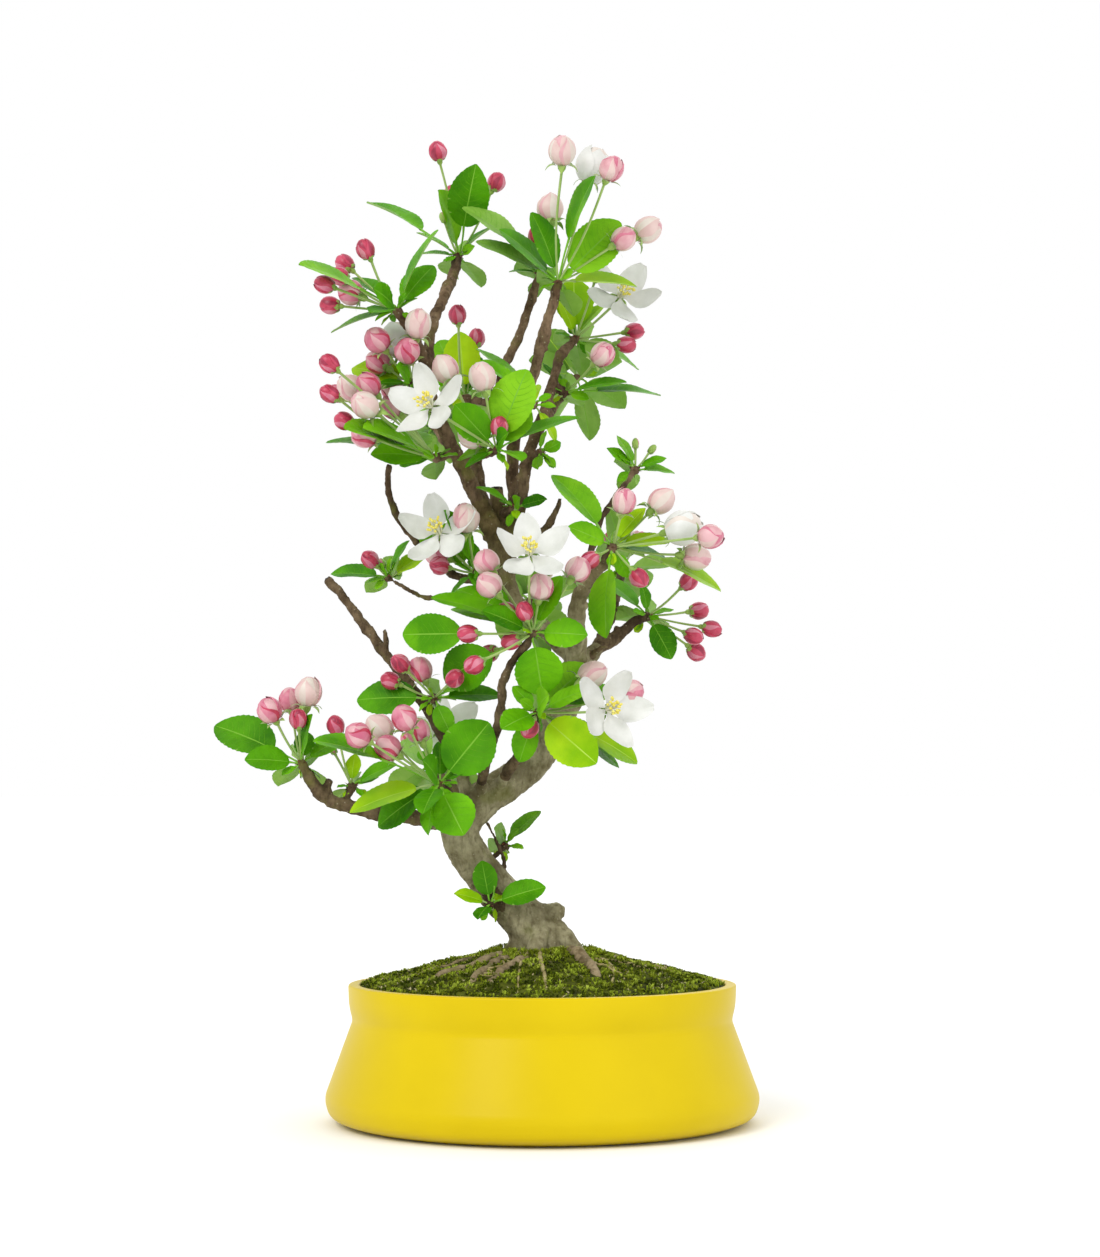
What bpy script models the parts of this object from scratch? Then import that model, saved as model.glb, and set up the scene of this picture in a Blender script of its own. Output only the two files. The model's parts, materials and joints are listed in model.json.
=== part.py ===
"""A flowering apple bonsai in its round yellow pot, as separate solids.

The plant is a trunk, its boughs and one solid for each mass of leaves, buds and
blossom. Lengths in the tables are millimetres: x to the right, y away from the
viewer, z up. The origin is the middle of the pot's flat underside.
"""

import math
import random

import bmesh
import bpy
from mathutils import Vector
from mathutils.bvhtree import BVHTree

MM = 0.001
GAP = 0.3                 # clearance between neighbouring solids
TOUCHING = 0.0003         # points nearer than this count as one
SEED = 7
UP = Vector((0, 0, 1))

# Pot, turned about the vertical
POT_FOOT_RADIUS = 80.0
POT_BELLY_RADIUS = 97.0
POT_BELLY_HEIGHT = 9.0
POT_WAIST_RADIUS = 84.6
POT_WAIST_HEIGHT = 45.5
POT_RIM_RADIUS = 86.4
POT_HEIGHT = 61.4
POT_WALL = 5.0
POT_FLOOR = 6.0
POT_LIP = 0.9
POT_STEPS = 32

# Moss mound: a flat seat under the trunk, then a slope down to the rim
SEAT_HEIGHT = 76.0
SEAT_RADIUS = 22.0
MOUND_EDGE_HEIGHT = 61.2
MOUND_POWER = 1.02

# Leaves, buds and blossom
LEAF_MAX_LENGTH = 31.0
LEAF_BLADE_SHARE = 0.8
LEAF_THICKNESS = 0.9
LEAF_CURL = 0.14
STALK_RADIUS = 0.6
STALK_ROOT_RADIUS = 0.22
BOSS_RADIUS = 2.5
BUNDLE_REACH = 4.5         # how far out the stalks of one mass may touch
BUD_SIDES = 4
PETAL_LENGTH = 18.5
PETAL_HALF_WIDTH = 5.9
PETAL_THICKNESS = 1.0
BUD_SIZES = {             # width and length
    "green": (3.6, 5.5),
    "red": (8.0, 10.0),
    "pink": (11.0, 12.5),
    "blush": (11.6, 14.5),
    "half": (15.5, 18.0),
}
SMALLEST_REACH = 13.5      # shorter leaves are left out of the solids
LEANS = (0, 12, -12, 24, -24, 36, -36, 48, -48)
SHIFTS = (0, 5, -5, 10, -10)
ADDED_LEANS = (48, 78)     # degrees away from the front view, for leaves that the rule adds
BACK_LEANS = (20, 65)
DEEPEST = 32.0             # how far a leaf or bud may lie before or behind its stem

# Trunk: x, y, z and radius up its bent line, ending in a sawn stub
TRUNK = [
    (4, 0, 66, 13.0), (-5, 0, 86, 10.6), (-18, -2, 100, 9.2), (-30, -4, 115, 8.6), (-37, -5, 129, 8.3),
    (-28, -3, 142, 8.2), (-15, 0, 151, 7.9), (-2, 3, 162, 7.2), (7, 4, 179, 6.6), (14, 3, 193, 6.1),
    (16, 1, 205, 5.4), (9, -1, 213, 4.8), (-1, -3, 220, 4.5), (-12, -3, 230, 4.4), (-17, -1, 242, 4.8),
    (-18, 0, 254, 6.4), (-18, 0, 264, 6.6), (-19.5, 0, 271, 3.7), (-21, 0, 284, 2.9),
]
FLARE_BEARINGS = (-38, -110, -165, 70, 140)
FLARE_REACH = 19.0
KNOB = ((5.4, 1.3, 93.0), 4.9)
# A surface root: its points seen from above, and its radius at each end
ROOTS = {
    "surface_root_right": ([(12, -12), (17, -24), (21, -36), (25, -49)], 4.4, 1.8),
    "surface_root_left": ([(-9, -11), (-27, -24), (-42, -33), (-58, -41)], 3.2, 1.4),
    "surface_root_front": ([(-3, -14), (-10, -30), (-19, -45), (-24, -63)], 2.8, 1.5),
}

# Boughs: what carries each, its points, and its radius at base and tip
BOUGHS = {
    "bough_left_front": ("trunk", [(-21, -2, 262), (-28, -8, 276), (-35, -12, 290), (-42, -14, 304),
                                   (-49, -18, 321), (-52, -20, 341)], 4.0, 2.2),
    "bough_top_left": ("bough_left_front", [(-51, -19, 334), (-50, -12, 353), (-46, -2, 367),
                                            (-42, 10, 379), (-39.5, 18, 388)], 2.2, 2.3),
    "bough_left_upper": ("bough_left_front", [(-52, -20, 337), (-56, -26, 347), (-60, -31, 353)], 2.1, 2.2),
    "bough_left_back": ("trunk", [(-19, 3, 258), (-26, 11, 276), (-30, 18, 293), (-29, 24, 309),
                                  (-22, 26, 322), (-18, 24, 341), (-10, 20, 358), (-3, 20, 380)], 2.9, 1.8),
    "bough_centre_back": ("trunk", [(-16, 3, 258), (-13, 9, 280), (-14, 11, 293), (-11, 9, 316),
                                    (-3, 1, 339), (2, -5, 357), (6, -9, 370)], 3.2, 2.3),
    "bough_right_front": ("trunk", [(-14, -2, 256), (-9, -6, 282), (-6, -5, 298), (0, 3, 316),
                                    (4, 13, 331), (8, 22, 346), (12, 25, 352)], 3.2, 1.9),
    "bough_left_middle": ("trunk", [(-16, -2, 236), (-29, 4, 241), (-42, 7, 246), (-55, 3, 257),
                                    (-65, -6, 270), (-69, -13, 281), (-68, -18, 292)], 2.2, 1.3),
    "bough_left_low": ("trunk", [(-13, -2, 232), (-28, 10, 234), (-42, 22, 236), (-54, 28, 236),
                                 (-66, 30, 242)], 1.7, 0.9),
    "bough_bare_cut": ("trunk", [(-31, -4, 138), (-37, -6, 156), (-45, -8, 173), (-55, -8, 189),
                                 (-66, -4, 203), (-77, 0, 217), (-88, 4, 232), (-98, 8, 243)], 2.9, 1.8),
    "bough_lowest_left": ("trunk", [(-31, -4, 133), (-44, -8, 133), (-60, -10, 136), (-76, -10, 138),
                                    (-89, -10, 141), (-98, -10, 145), (-104, -12, 154)], 3.4, 2.6),
    "bough_low_front": ("trunk", [(-22, -2, 146), (-14, -20, 157), (-8, -32, 168), (-4, -40, 177)], 2.4, 1.7),
    "bough_inner_rise": ("trunk", [(-28, -2, 141), (-26, -20, 156), (-21, -28, 171), (-18, -34, 182),
                                   (-17, -40, 194), (-12, -46, 204), (-7, -48, 210)], 2.3, 1.7),
    "bough_right": ("trunk", [(15, 0, 199), (15, -9, 218), (16, -16, 231), (22, -22, 241),
                              (28, -27, 249)], 4.6, 2.6),
    "bough_right_low": ("trunk", [(15, 0, 201), (24, 6, 211), (32, 12, 216), (38, 16, 221),
                                  (44, 19, 225)], 3.8, 2.0),
    "bough_right_thin": ("bough_right", [(16, -14, 227), (20, 10, 246), (25, 22, 267), (32, 29, 280),
                                         (40, 34, 291)], 1.5, 1.3),
    "bough_back_low_left": ("trunk", [(-31, -2, 136), (-36, 20, 144), (-44, 38, 151), (-50, 52, 156)], 2.6, 1.7),
    "bough_back_low_right": ("trunk", [(-6, 2, 160), (-2, 22, 166), (2, 38, 172), (5, 50, 177)], 2.4, 1.7),
    "bough_back_centre": ("trunk", [(-4, -3, 223), (-6, 20, 226), (-8, 38, 230), (-7, 54, 234)], 2.4, 1.7),
    "bough_back_right": ("bough_right_low", [(25, 7, 212), (31, 28, 226), (35, 44, 238), (37, 56, 248)], 2.2, 1.6),
    "bough_back_upper_left": ("bough_left_back", [(-29, 17, 291), (-38, 32, 300), (-46, 46, 310),
                                                  (-50, 56, 317)], 2.0, 1.5),
    "bough_back_upper_right": ("bough_right_front", [(-2, 0, 311), (4, 22, 322), (10, 42, 332),
                                                     (14, 56, 340)], 2.0, 1.5),
}

# Masses. Each has its carrier, the point its leaves spring from, and, as seen from
# the front, its leaves (bearing, reach, breadth) and its blooms (bearing, reach,
# stage); then how many leaves the rule adds, how far they reach, and where they lean.
MASSES = {
    "foliage_top_left": (
        "bough_top_left", (-39, 20, 393),
        [(147, 51, 0.4), (108, 27, 0.5), (152, 21, 0.3), (174, 18, 0.4), (76, 37, 1.1), (40, 21, 0.3)],
        [(101, 44, "red"), (96, 29, "red"), (62, 37, "red"), (112, 17, "green")], 3, 24, 1),
    "foliage_top_back": (
        "bough_left_back", (-1, 20, 385),
        [(174, 14, 0.3), (126, 11, 0.5), (-30, 11, 0.5), (67, 12, 0.6)],
        [(96, 15, "red")], 2, 22, 1),
    "foliage_top_right": (
        "bough_centre_back", (7, -10, 375),
        [(141, 55, 0.5), (140, 34, 0.5), (153, 41, 0.45), (131, 41, 0.45), (112, 32, 0.7), (45, 39, 1.0),
         (0, 35, 0.45), (69, 46, 0.35), (139, 17, 0.5)],
        [(88, 53, "blush"), (96, 34, "blush"), (73, 53, "half"), (63, 51, "pink"), (32, 47, "blush"),
         (33, 34, "pink")], 2, 24, 1),
    "foliage_left_upper": (
        "bough_left_upper", (-64, -35, 358),
        [(53, 26, 0.85), (61, 38, 0.3), (31, 10, 0.5), (-164, 30, 0.35), (-151, 10, 0.4), (-36, 10, 0.6),
         (140, 26, 0.5), (161, 42, 0.4)],
        [(118, 27, "red"), (137, 31, "red"), (150, 28, "red"), (164, 31, "red"), (174, 29, "red"),
         (158, 21, "pink")], 2, 20, -1),
    "foliage_left_spur": (
        "bough_left_front", (-58, -26, 327),
        [(161, 28, 0.8), (-177, 14, 0.5), (-169, 20, 0.4), (121, 10, 0.6)],
        [(82, 24, "blush"), (106, 21, "half"), (95, 12, "pink"), (129, 22, "pink"), (146, 17, "pink")], 2, 18, -1),
    "foliage_umbel": (
        "bough_left_front", (-47, -24, 294),
        [(170, 50, 0.3), (167, 39, 0.45), (178, 28, 0.8), (190, 16, 0.6), (169, 31, 0.5), (144, 28, 0.6)],
        [(140, 58, "red"), (146, 53, "red"), (141, 47, "blush"), (151, 51, "red"), (157, 44, "red"),
         (134, 41, "pink"), (146, 35, "blush"), (121, 37, "pink"), (129, 29, "pink"), (165, 31, "pink")], 2, 22, 1),
    "foliage_centre_upper": (
        "bough_left_front", (-20, -38, 296),
        [(128, 26, 1.1), (69, 37, 0.95), (-150, 15, 0.55), (-171, 17, 0.6), (52, 23, 0.95), (23, 39, 0.35)],
        [(149, 32, "open"), (122, 42, "blush"), (101, 31, "blush"), (82, 9, "red"), (148, 12, "blush")], 2, 22, -1),
    "foliage_back_spur": (
        "bough_left_back", (-36, 36, 329),
        [(114, 31, 1.0), (95, 31, 1.1), (77, 22, 0.9), (66, 16, 0.7), (141, 19, 0.8)],
        [(95, 36, "red"), (80, 29, "red")], 3, 26, 1),
    "foliage_right_upper": (
        "bough_right_front", (15, 28, 356),
        [(91, 29, 1.0), (113, 19, 0.7), (-25, 22, 1.0), (-19, 31, 0.4), (-123, 15, 0.5), (165, 9, 0.5),
         (50, 22, 0.5)],
        [(40, 26, "open"), (9, 27, "red"), (-8, 23, "red"), (70, 27, "green")], 3, 24, 1),
    "foliage_right_spur": (
        "bough_right_front", (10, 18, 329),
        [(1, 44, 0.35), (8, 28, 0.4), (-12, 11, 0.8), (122, 11, 0.6), (122, 18, 0.5)],
        [(43, 23, "pink")], 2, 22, 1),
    "foliage_centre_spur": (
        "bough_centre_back", (-4, -8, 320),
        [(134, 37, 0.3), (145, 29, 0.4), (-60, 19, 0.5)],
        [], 1, 18, -1),
    "foliage_right_small": (
        "bough_right_front", (-1, -10, 298),
        [(30, 10, 1.0), (-45, 9, 0.8), (74, 10, 0.5)],
        [], 1, 12, -1),
    "foliage_fan": (
        "trunk", (-12, -13, 273),
        [(153, 19, 0.35), (14, 14, 0.8), (-79, 14, 0.4)],
        [], 1, 14, -1),
    "foliage_right_thin": (
        "bough_right_thin", (43, 36, 296),
        [(117, 18, 0.5), (143, 16, 0.6), (20, 15, 0.6), (-4, 18, 0.5)],
        [(90, 11, "green"), (51, 12, "green")], 2, 20, 1),
    "foliage_right": (
        "bough_right", (31, -30, 254),
        [(129, 42, 0.6), (157, 21, 0.9), (-63, 14, 1.3), (50, 22, 0.7), (6, 25, 0.6), (-8, 24, 0.4),
         (-21, 51, 0.35), (-94, 40, 0.6)],
        [(76, 19, "pink"), (44, 29, "blush"), (15, 31, "half"), (4, 41, "pink"), (-6, 36, "blush"),
         (-50, 17, "red"), (-148, 11, "red")], 2, 24, 1),
    "foliage_left_small": (
        "bough_left_low", (-71, 31, 245),
        [(175, 27, 0.5), (60, 19, 0.35), (32, 20, 0.7), (190, 10, 0.5), (82, 9, 0.4)],
        [(135, 11, "red"), (115, 7, "green")], 2, 20, 1),
    "foliage_left_centre": (
        "bough_left_middle", (-30, -12, 244),
        [(142, 32, 0.9), (117, 30, 0.5), (105, 15, 0.8), (-137, 14, 0.4)],
        [(99, 23, "blush"), (133, 22, "open"), (152, 18, "pink"), (170, 15, "red")], 2, 20, -1),
    "foliage_centre": (
        "bough_inner_rise", (-4, -50, 215),
        [(-81, 26, 1.2), (-3, 23, 0.95), (179, 57, 1.1), (-155, 43, 1.1), (157, 23, 0.8), (161, 46, 0.35),
         (162, 37, 0.45), (63, 27, 0.8), (148, 39, 0.7)],
        [(92, 32, "open"), (123, 36, "pink"), (132, 27, "pink"), (80, 19, "pink"), (55, 33, "pink"),
         (140, 14, "red"), (112, 9, "red"), (-161, 9, "red"), (-179, 27, "red"), (-150, 28, "red"),
         (-158, 20, "red")], 2, 18, 1),
    "foliage_right_low": (
        "bough_right_low", (48, 21, 227),
        [(141, 30, 0.5), (102, 14, 0.7), (-61, 22, 0.95), (13, 12, 0.5)],
        [(39, 23, "red"), (6, 23, "red"), (-12, 29, "red"), (-26, 22, "red"), (-36, 27, "red")], 3, 24, 1),
    "foliage_bare_spur": (
        "bough_bare_cut", (-48, -18, 188),
        [(-179, 34, 0.9), (-64, 17, 1.1), (21, 21, 0.4), (2, 29, 0.6)],
        [(134, 20, "red"), (158, 20, "red"), (116, 13, "pink"), (40, 12, "red")], 2, 22, 1),
    "foliage_low_front": (
        "bough_low_front", (-2, -44, 181),
        [(43, 30, 0.95), (23, 25, 0.6), (134, 15, 0.9), (-110, 22, 0.95), (-41, 33, 1.0), (-27, 48, 0.5),
         (-34, 42, 0.35), (13, 40, 0.5)],
        [(2, 29, "open"), (35, 28, "blush"), (12, 40, "pink"), (-117, 7, "red")], 2, 22, -1),
    "foliage_low_left": (
        "trunk", (-45, -36, 150),
        [(51, 34, 1.2), (-63, 24, 1.3), (-162, 40, 0.5), (-145, 32, 0.7), (25, 14, 0.5), (-101, 22, 0.5),
         (92, 18, 0.7), (161, 56, 0.3)],
        [(148, 39, "pink"), (137, 35, "blush"), (144, 26, "pink"), (117, 31, "pink"), (112, 24, "pink")], 2, 22, -1),
    "foliage_far_left": (
        "bough_lowest_left", (-107, -12, 159),
        [(157, 43, 0.8), (176, 24, 0.8), (84, 14, 1.0), (32, 22, 0.7), (75, 22, 0.5)],
        [(119, 26, "pink"), (101, 28, "pink"), (84, 31, "blush"), (92, 19, "red")], 4, 24, 1),
    "foliage_lowest_spur": (
        "bough_lowest_left", (-85, -6, 149),
        [(85, 14, 0.9), (25, 22, 0.6), (19, 12, 0.6)],
        [(103, 27, "red"), (118, 18, "green")], 2, 20, 1),
    "foliage_trunk_spur": (
        "trunk", (-23, -16, 97),
        [(101, 19, 1.1), (163, 16, 0.6), (17, 25, 0.8)],
        [], 1, 14, -1),
    "foliage_trunk_shoot": (
        "trunk", (-17, 10, 122),
        [(44, 22, 0.6), (50, 10, 0.5)],
        [], 2, 20, 1),
    "foliage_back_low_left": (
        "bough_back_low_left", (-52, 58, 159), [], [], 8, 30, 1),
    "foliage_back_low_right": (
        "bough_back_low_right", (6, 56, 180), [], [], 7, 28, 1),
    "foliage_back_centre": (
        "bough_back_centre", (-6, 60, 236), [], [], 9, 30, 1),
    "foliage_back_right": (
        "bough_back_right", (38, 62, 252), [], [], 8, 28, 1),
    "foliage_back_upper_left": (
        "bough_back_upper_left", (-52, 62, 320), [], [], 8, 28, 1),
    "foliage_back_upper_right": (
        "bough_back_upper_right", (16, 62, 343), [], [], 8, 28, 1),
}
BACK_BLOOMS = ("open", "pink", "red", "blush", "red", "pink")


def clear_scene():
    """Remove every object that the scene starts with."""
    for obj in list(bpy.data.objects):
        bpy.data.objects.remove(obj, do_unlink=True)


def new_collection(name):
    collection = bpy.data.collections.new(name)
    bpy.context.scene.collection.children.link(collection)
    return collection


def material(name, color, roughness):
    """One plain Principled material; color is linear red, green and blue."""
    mat = bpy.data.materials.new(name)
    mat.use_nodes = True
    shader = mat.node_tree.nodes["Principled BSDF"]
    shader.inputs["Base Color"].default_value = (*color, 1.0)
    shader.inputs["Roughness"].default_value = roughness
    shader.inputs["Metallic"].default_value = 0.0
    return mat


def smooth_line(points, per_span):
    """Points of a Catmull-Rom line through tuples of numbers, ends included."""
    rows = [points[0], *points, points[-1]]
    line = []
    for index in range(1, len(rows) - 2):
        a, b, c, d = rows[index - 1:index + 3]
        for step in range(per_span):
            t = step / per_span
            line.append(tuple(
                0.5 * (2 * q + (r - p) * t + (2 * p - 5 * q + 4 * r - s) * t ** 2 + (3 * q - p - 3 * r + s) * t ** 3)
                for p, q, r, s in zip(a, b, c, d)))
    line.append(tuple(points[-1]))
    return line


def tube(name, line, grow=0.0, resolution=1):
    """A mesh tube along x, y, z, radius rows: a curve with a bevel and filled caps."""
    rows = [Vector(row[:3]) for row in line]
    first = rows[0] + (rows[0] - rows[1]).normalized() * grow
    last = rows[-1] + (rows[-1] - rows[-2]).normalized() * grow
    rows = [first, *rows[1:-1], last]
    data = bpy.data.curves.new(name, "CURVE")
    data.dimensions = "3D"
    data.bevel_depth = MM
    data.bevel_resolution = resolution
    data.use_fill_caps = True
    spline = data.splines.new("POLY")
    spline.points.add(len(rows) - 1)
    for point, place, row in zip(spline.points, rows, line):
        point.co = (*(place * MM), 1.0)
        point.radius = row[3] + grow
    curve = bpy.data.objects.new(name, data)
    bpy.context.scene.collection.objects.link(curve)
    bpy.context.view_layer.update()
    mesh = bpy.data.meshes.new_from_object(curve.evaluated_get(bpy.context.evaluated_depsgraph_get()))
    bpy.data.objects.remove(curve, do_unlink=True)
    bpy.data.curves.remove(data)
    weld(mesh)
    return bpy.data.objects.new(name, mesh)


def weld(mesh):
    """Join the caps of a tube to its wall and turn its faces out."""
    bm = bmesh.new()
    bm.from_mesh(mesh)
    bmesh.ops.remove_doubles(bm, verts=bm.verts, dist=0.00001)
    bmesh.ops.recalc_face_normals(bm, faces=bm.faces)
    bm.to_mesh(mesh)
    bm.free()


def turned(name, profile, steps):
    """A profile of radius and height, down its outer side, turned about the vertical."""
    mesh = bpy.data.meshes.new(name)
    rows = [(radius * MM, 0.0, height * MM) for radius, height in profile]
    mesh.from_pydata(rows, [(k, k + 1) for k in range(len(rows) - 1)], [])
    obj = bpy.data.objects.new(name, mesh)
    bpy.context.scene.collection.objects.link(obj)
    screw = obj.modifiers.new("Turn", "SCREW")
    screw.steps = steps
    screw.render_steps = steps
    screw.use_merge_vertices = True
    screw.merge_threshold = 0.0001
    apply_modifiers(obj)
    bpy.context.scene.collection.objects.unlink(obj)
    return obj


def apply_modifiers(obj):
    """Put the object's evaluated mesh in place of its mesh and modifiers."""
    bpy.context.view_layer.update()
    mesh = bpy.data.meshes.new_from_object(obj.evaluated_get(bpy.context.evaluated_depsgraph_get()))
    obj.modifiers.clear()
    old = obj.data
    obj.data = mesh
    bpy.data.meshes.remove(old)


def parts_of(bm):
    """The connected sets of faces in a bmesh."""
    left = set(bm.faces)
    parts = []
    while left:
        stack = [left.pop()]
        part = []
        while stack:
            face = stack.pop()
            part.append(face)
            for edge in face.edges:
                for other in edge.link_faces:
                    if other in left:
                        left.remove(other)
                        stack.append(other)
        parts.append(part)
    return parts


def volume_of(part):
    """Signed volume inside a closed set of faces."""
    total = 0.0
    for face in part:
        corners = [vert.co for vert in face.verts]
        for second, third in zip(corners[1:], corners[2:]):
            total += corners[0].dot(second.cross(third)) / 6.0
    return total


def keep_largest(obj):
    """Keep the largest closed body: loose scraps and sealed hollows go."""
    bm = bmesh.new()
    bm.from_mesh(obj.data)
    parts = sorted(parts_of(bm), key=volume_of)
    for part in parts[:-1]:
        bmesh.ops.delete(bm, geom=part, context="FACES")
    loose = [vert for vert in bm.verts if not vert.link_faces]
    bmesh.ops.delete(bm, geom=loose, context="VERTS")
    bm.to_mesh(obj.data)
    bm.free()


def is_closed(obj):
    """Whether every edge has exactly two faces, also once points that touch are joined."""
    bm = bmesh.new()
    bm.from_mesh(obj.data)
    bmesh.ops.remove_doubles(bm, verts=bm.verts, dist=TOUCHING * MM)
    closed = all(edge.is_manifold for edge in bm.edges) and len(bm.faces) > 0
    bm.free()
    return closed


def combine(obj, others, operation):
    """Cut others from the object or join them to it, and remove them."""
    operands = new_collection("operands")
    for other in others:
        operands.objects.link(other)
        other.hide_render = True
        other.display_type = "WIRE"
    bpy.context.scene.collection.objects.link(obj)
    before = obj.data.copy()
    for solver in ("EXACT", "MANIFOLD"):
        modifier = obj.modifiers.new("Combine", "BOOLEAN")
        modifier.operation = operation
        modifier.operand_type = "COLLECTION"
        modifier.collection = operands
        modifier.solver = solver
        apply_modifiers(obj)
        keep_largest(obj)
        if is_closed(obj):
            break
        obj.data = before.copy()
    bpy.data.meshes.remove(before)
    bpy.context.scene.collection.objects.unlink(obj)
    for other in others:
        bpy.data.objects.remove(other, do_unlink=True)
    bpy.data.collections.remove(operands)


def tree_of(obj):
    """A search tree of an object's faces."""
    bm = bmesh.new()
    bm.from_mesh(obj.data)
    tree = BVHTree.FromBMesh(bm)
    bm.free()
    return tree


def loft(rings, tip):
    """Corner points and faces of rings of three or more points, closed at a tip point."""
    size = len(rings[0])
    points = [point for ring in rings for point in ring] + [tip]
    faces = [tuple(reversed(range(size)))]
    for row in range(len(rings) - 1):
        for k in range(size):
            after = (k + 1) % size
            faces.append((row * size + k, row * size + after, (row + 1) * size + after, (row + 1) * size + k))
    last = (len(rings) - 1) * size
    for k in range(size):
        faces.append((last + k, last + (k + 1) % size, len(points) - 1))
    return points, faces


def solid(name, shape):
    """A mesh object from a loft's points and faces."""
    points, faces = shape
    mesh = bpy.data.meshes.new(name)
    mesh.from_pydata([point * MM for point in points], [], faces)
    bm = bmesh.new()
    bm.from_mesh(mesh)
    bmesh.ops.triangulate(bm, faces=bm.faces)
    bmesh.ops.recalc_face_normals(bm, faces=bm.faces)
    bm.to_mesh(mesh)
    bm.free()
    return bpy.data.objects.new(name, mesh)


def aim(bearing, reach, lean):
    """The way to a point that lies at a bearing and reach seen from the front."""
    angle = math.radians(bearing)
    depth = max(-DEEPEST, min(DEEPEST, reach * math.tan(math.radians(lean))))
    return Vector((reach * math.cos(angle), depth, reach * math.sin(angle)))


def leaf_frame(way, breadth, outward, rng):
    """Length, half width, stalk and the directions along, across and out of a leaf."""
    total = way.length
    blade = min(total * LEAF_BLADE_SHARE, LEAF_MAX_LENGTH)
    ratio = rng.uniform(0.56, 0.68) + 0.16 * max(0.0, min(breadth, 1.2) - 0.6)
    along = way.normalized()
    facing = outward - along * outward.dot(along)
    facing.normalize()
    side = along.cross(facing)
    if side.z < 0:
        side = -side
    seen = min(1.0, breadth)
    normal = facing * seen + side * math.sqrt(1.0 - seen * seen)
    curl = LEAF_CURL * blade
    along = (way + normal * curl).normalized()
    normal = (normal - along * normal.dot(along)).normalized()
    across = along.cross(normal)
    return blade, blade * ratio / 2, total - blade, along, across, normal


def leaf_shape(base, frame, margin, skip, simple):
    """A leaf on its stalk: triangular sections along a line that curls back."""
    blade, half, stalk, along, across, normal = frame
    stations = [(0.0, STALK_RADIUS), (0.45, half)] if simple else [
        (0.0, STALK_RADIUS), (0.26, half * 0.9), (0.66, half * 0.94)]
    small = STALK_ROOT_RADIUS + margin

    def section(middle, wide, deep):
        return [middle - across * wide, middle - normal * deep, middle + across * wide]

    rings = [section(base + along * skip, small, small)]
    for share, wide in stations:
        middle = base + along * (stalk + blade * share) - normal * (LEAF_CURL * blade * share ** 2)
        rings.append(section(middle + normal * (margin + 0.3), wide + margin, LEAF_THICKNESS + 2 * margin))
    tip = base + along * (stalk + blade + margin) - normal * (LEAF_CURL * blade)
    return loft(rings, tip)


def ring_round(middle, axis, radius, size):
    """A ring of points around an axis."""
    across = axis.cross(UP if abs(axis.z) < 0.9 else Vector((1, 0, 0))).normalized()
    other = axis.cross(across)
    return [middle + (across * math.cos(2 * math.pi * k / size) + other * math.sin(2 * math.pi * k / size)) * radius
            for k in range(size)]


def bud_shape(base, way, stage, margin, skip):
    """A bud on its stalk: sections that swell and close."""
    width, length = BUD_SIZES[stage]
    axis = way.normalized()
    foot = base + way - axis * length / 2
    rings = [ring_round(base + axis * skip, axis, STALK_ROOT_RADIUS + margin, BUD_SIDES)]
    for share, radius in ((0.0, 0.12), (0.48, 0.54)):
        rings.append(ring_round(foot + axis * length * share, axis, width * radius + margin, BUD_SIDES))
    return loft(rings, foot + axis * (length + margin))


def blossom_frame(way, outward):
    """The way an open blossom faces and one direction across it."""
    facing = (way.normalized() * 0.6 + outward * 0.55 + UP * 0.15).normalized()
    across = facing.cross(UP).normalized()
    return facing, across, facing.cross(across)


def blossom_shapes(base, way, outward, turn, margin, skip):
    """The stalk with its seat, then five petals that stand out of it."""
    facing, across, other = blossom_frame(way, outward)
    centre = base + way
    axis = way.normalized()
    rings = [ring_round(base + axis * skip, axis, STALK_ROOT_RADIUS + margin, BUD_SIDES),
             ring_round(centre - facing * 3.0, facing, 1.2 + margin, BUD_SIDES),
             ring_round(centre, facing, 2.4 + margin, BUD_SIDES)]
    shapes = [loft(rings, centre + facing * (2.5 + margin))]
    for k in range(5):
        angle = turn + 2 * math.pi * k / 5
        outwards = across * math.cos(angle) + other * math.sin(angle)
        along = (outwards + facing * 0.42).normalized()
        wide = along.cross(facing).normalized()
        normal = wide.cross(along)
        rings = []
        for share, half in ((0.06, 0.5), (0.62, PETAL_HALF_WIDTH)):
            middle = centre + along * PETAL_LENGTH * share
            rings.append([middle - wide * (half + margin), middle - normal * (PETAL_THICKNESS + margin),
                          middle + wide * (half + margin)])
        shapes.append(loft(rings, centre + along * (PETAL_LENGTH + margin)))
    return shapes


def shape_tree(shape):
    """A search tree of a shape's faces."""
    points, faces = shape
    return BVHTree.FromPolygons([point * MM for point in points], faces)


def settle(make, trees, own):
    """The shapes at the first shift and lean that touch no other solid or leaf, or none."""
    for shift in SHIFTS:
        for lean in LEANS:
            wide = [shape_tree(shape) for shape in make(shift, lean, GAP + 0.15, 0.0)]
            if any(shape.overlap(tree) for shape in wide for tree in trees):
                continue
            free = [shape_tree(shape) for shape in make(shift, lean, 0.1, BUNDLE_REACH)]
            if any(shape.overlap(tree) for shape in free for tree in own):
                continue
            own.extend(free)
            return make(shift, lean, 0.0, 0.0)
    return []


def stalk_start(boss, way):
    """Where a stalk starts, inside the swelling that ends its stem."""
    return boss + way.normalized() * 0.6


def aim_length(bearing, length, lean):
    """The way to a point at a true distance, whatever its lean."""
    angle = math.radians(bearing)
    tilt = math.radians(lean)
    flat = length * math.cos(tilt)
    return Vector((flat * math.cos(angle), length * math.sin(tilt), flat * math.sin(angle)))


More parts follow.
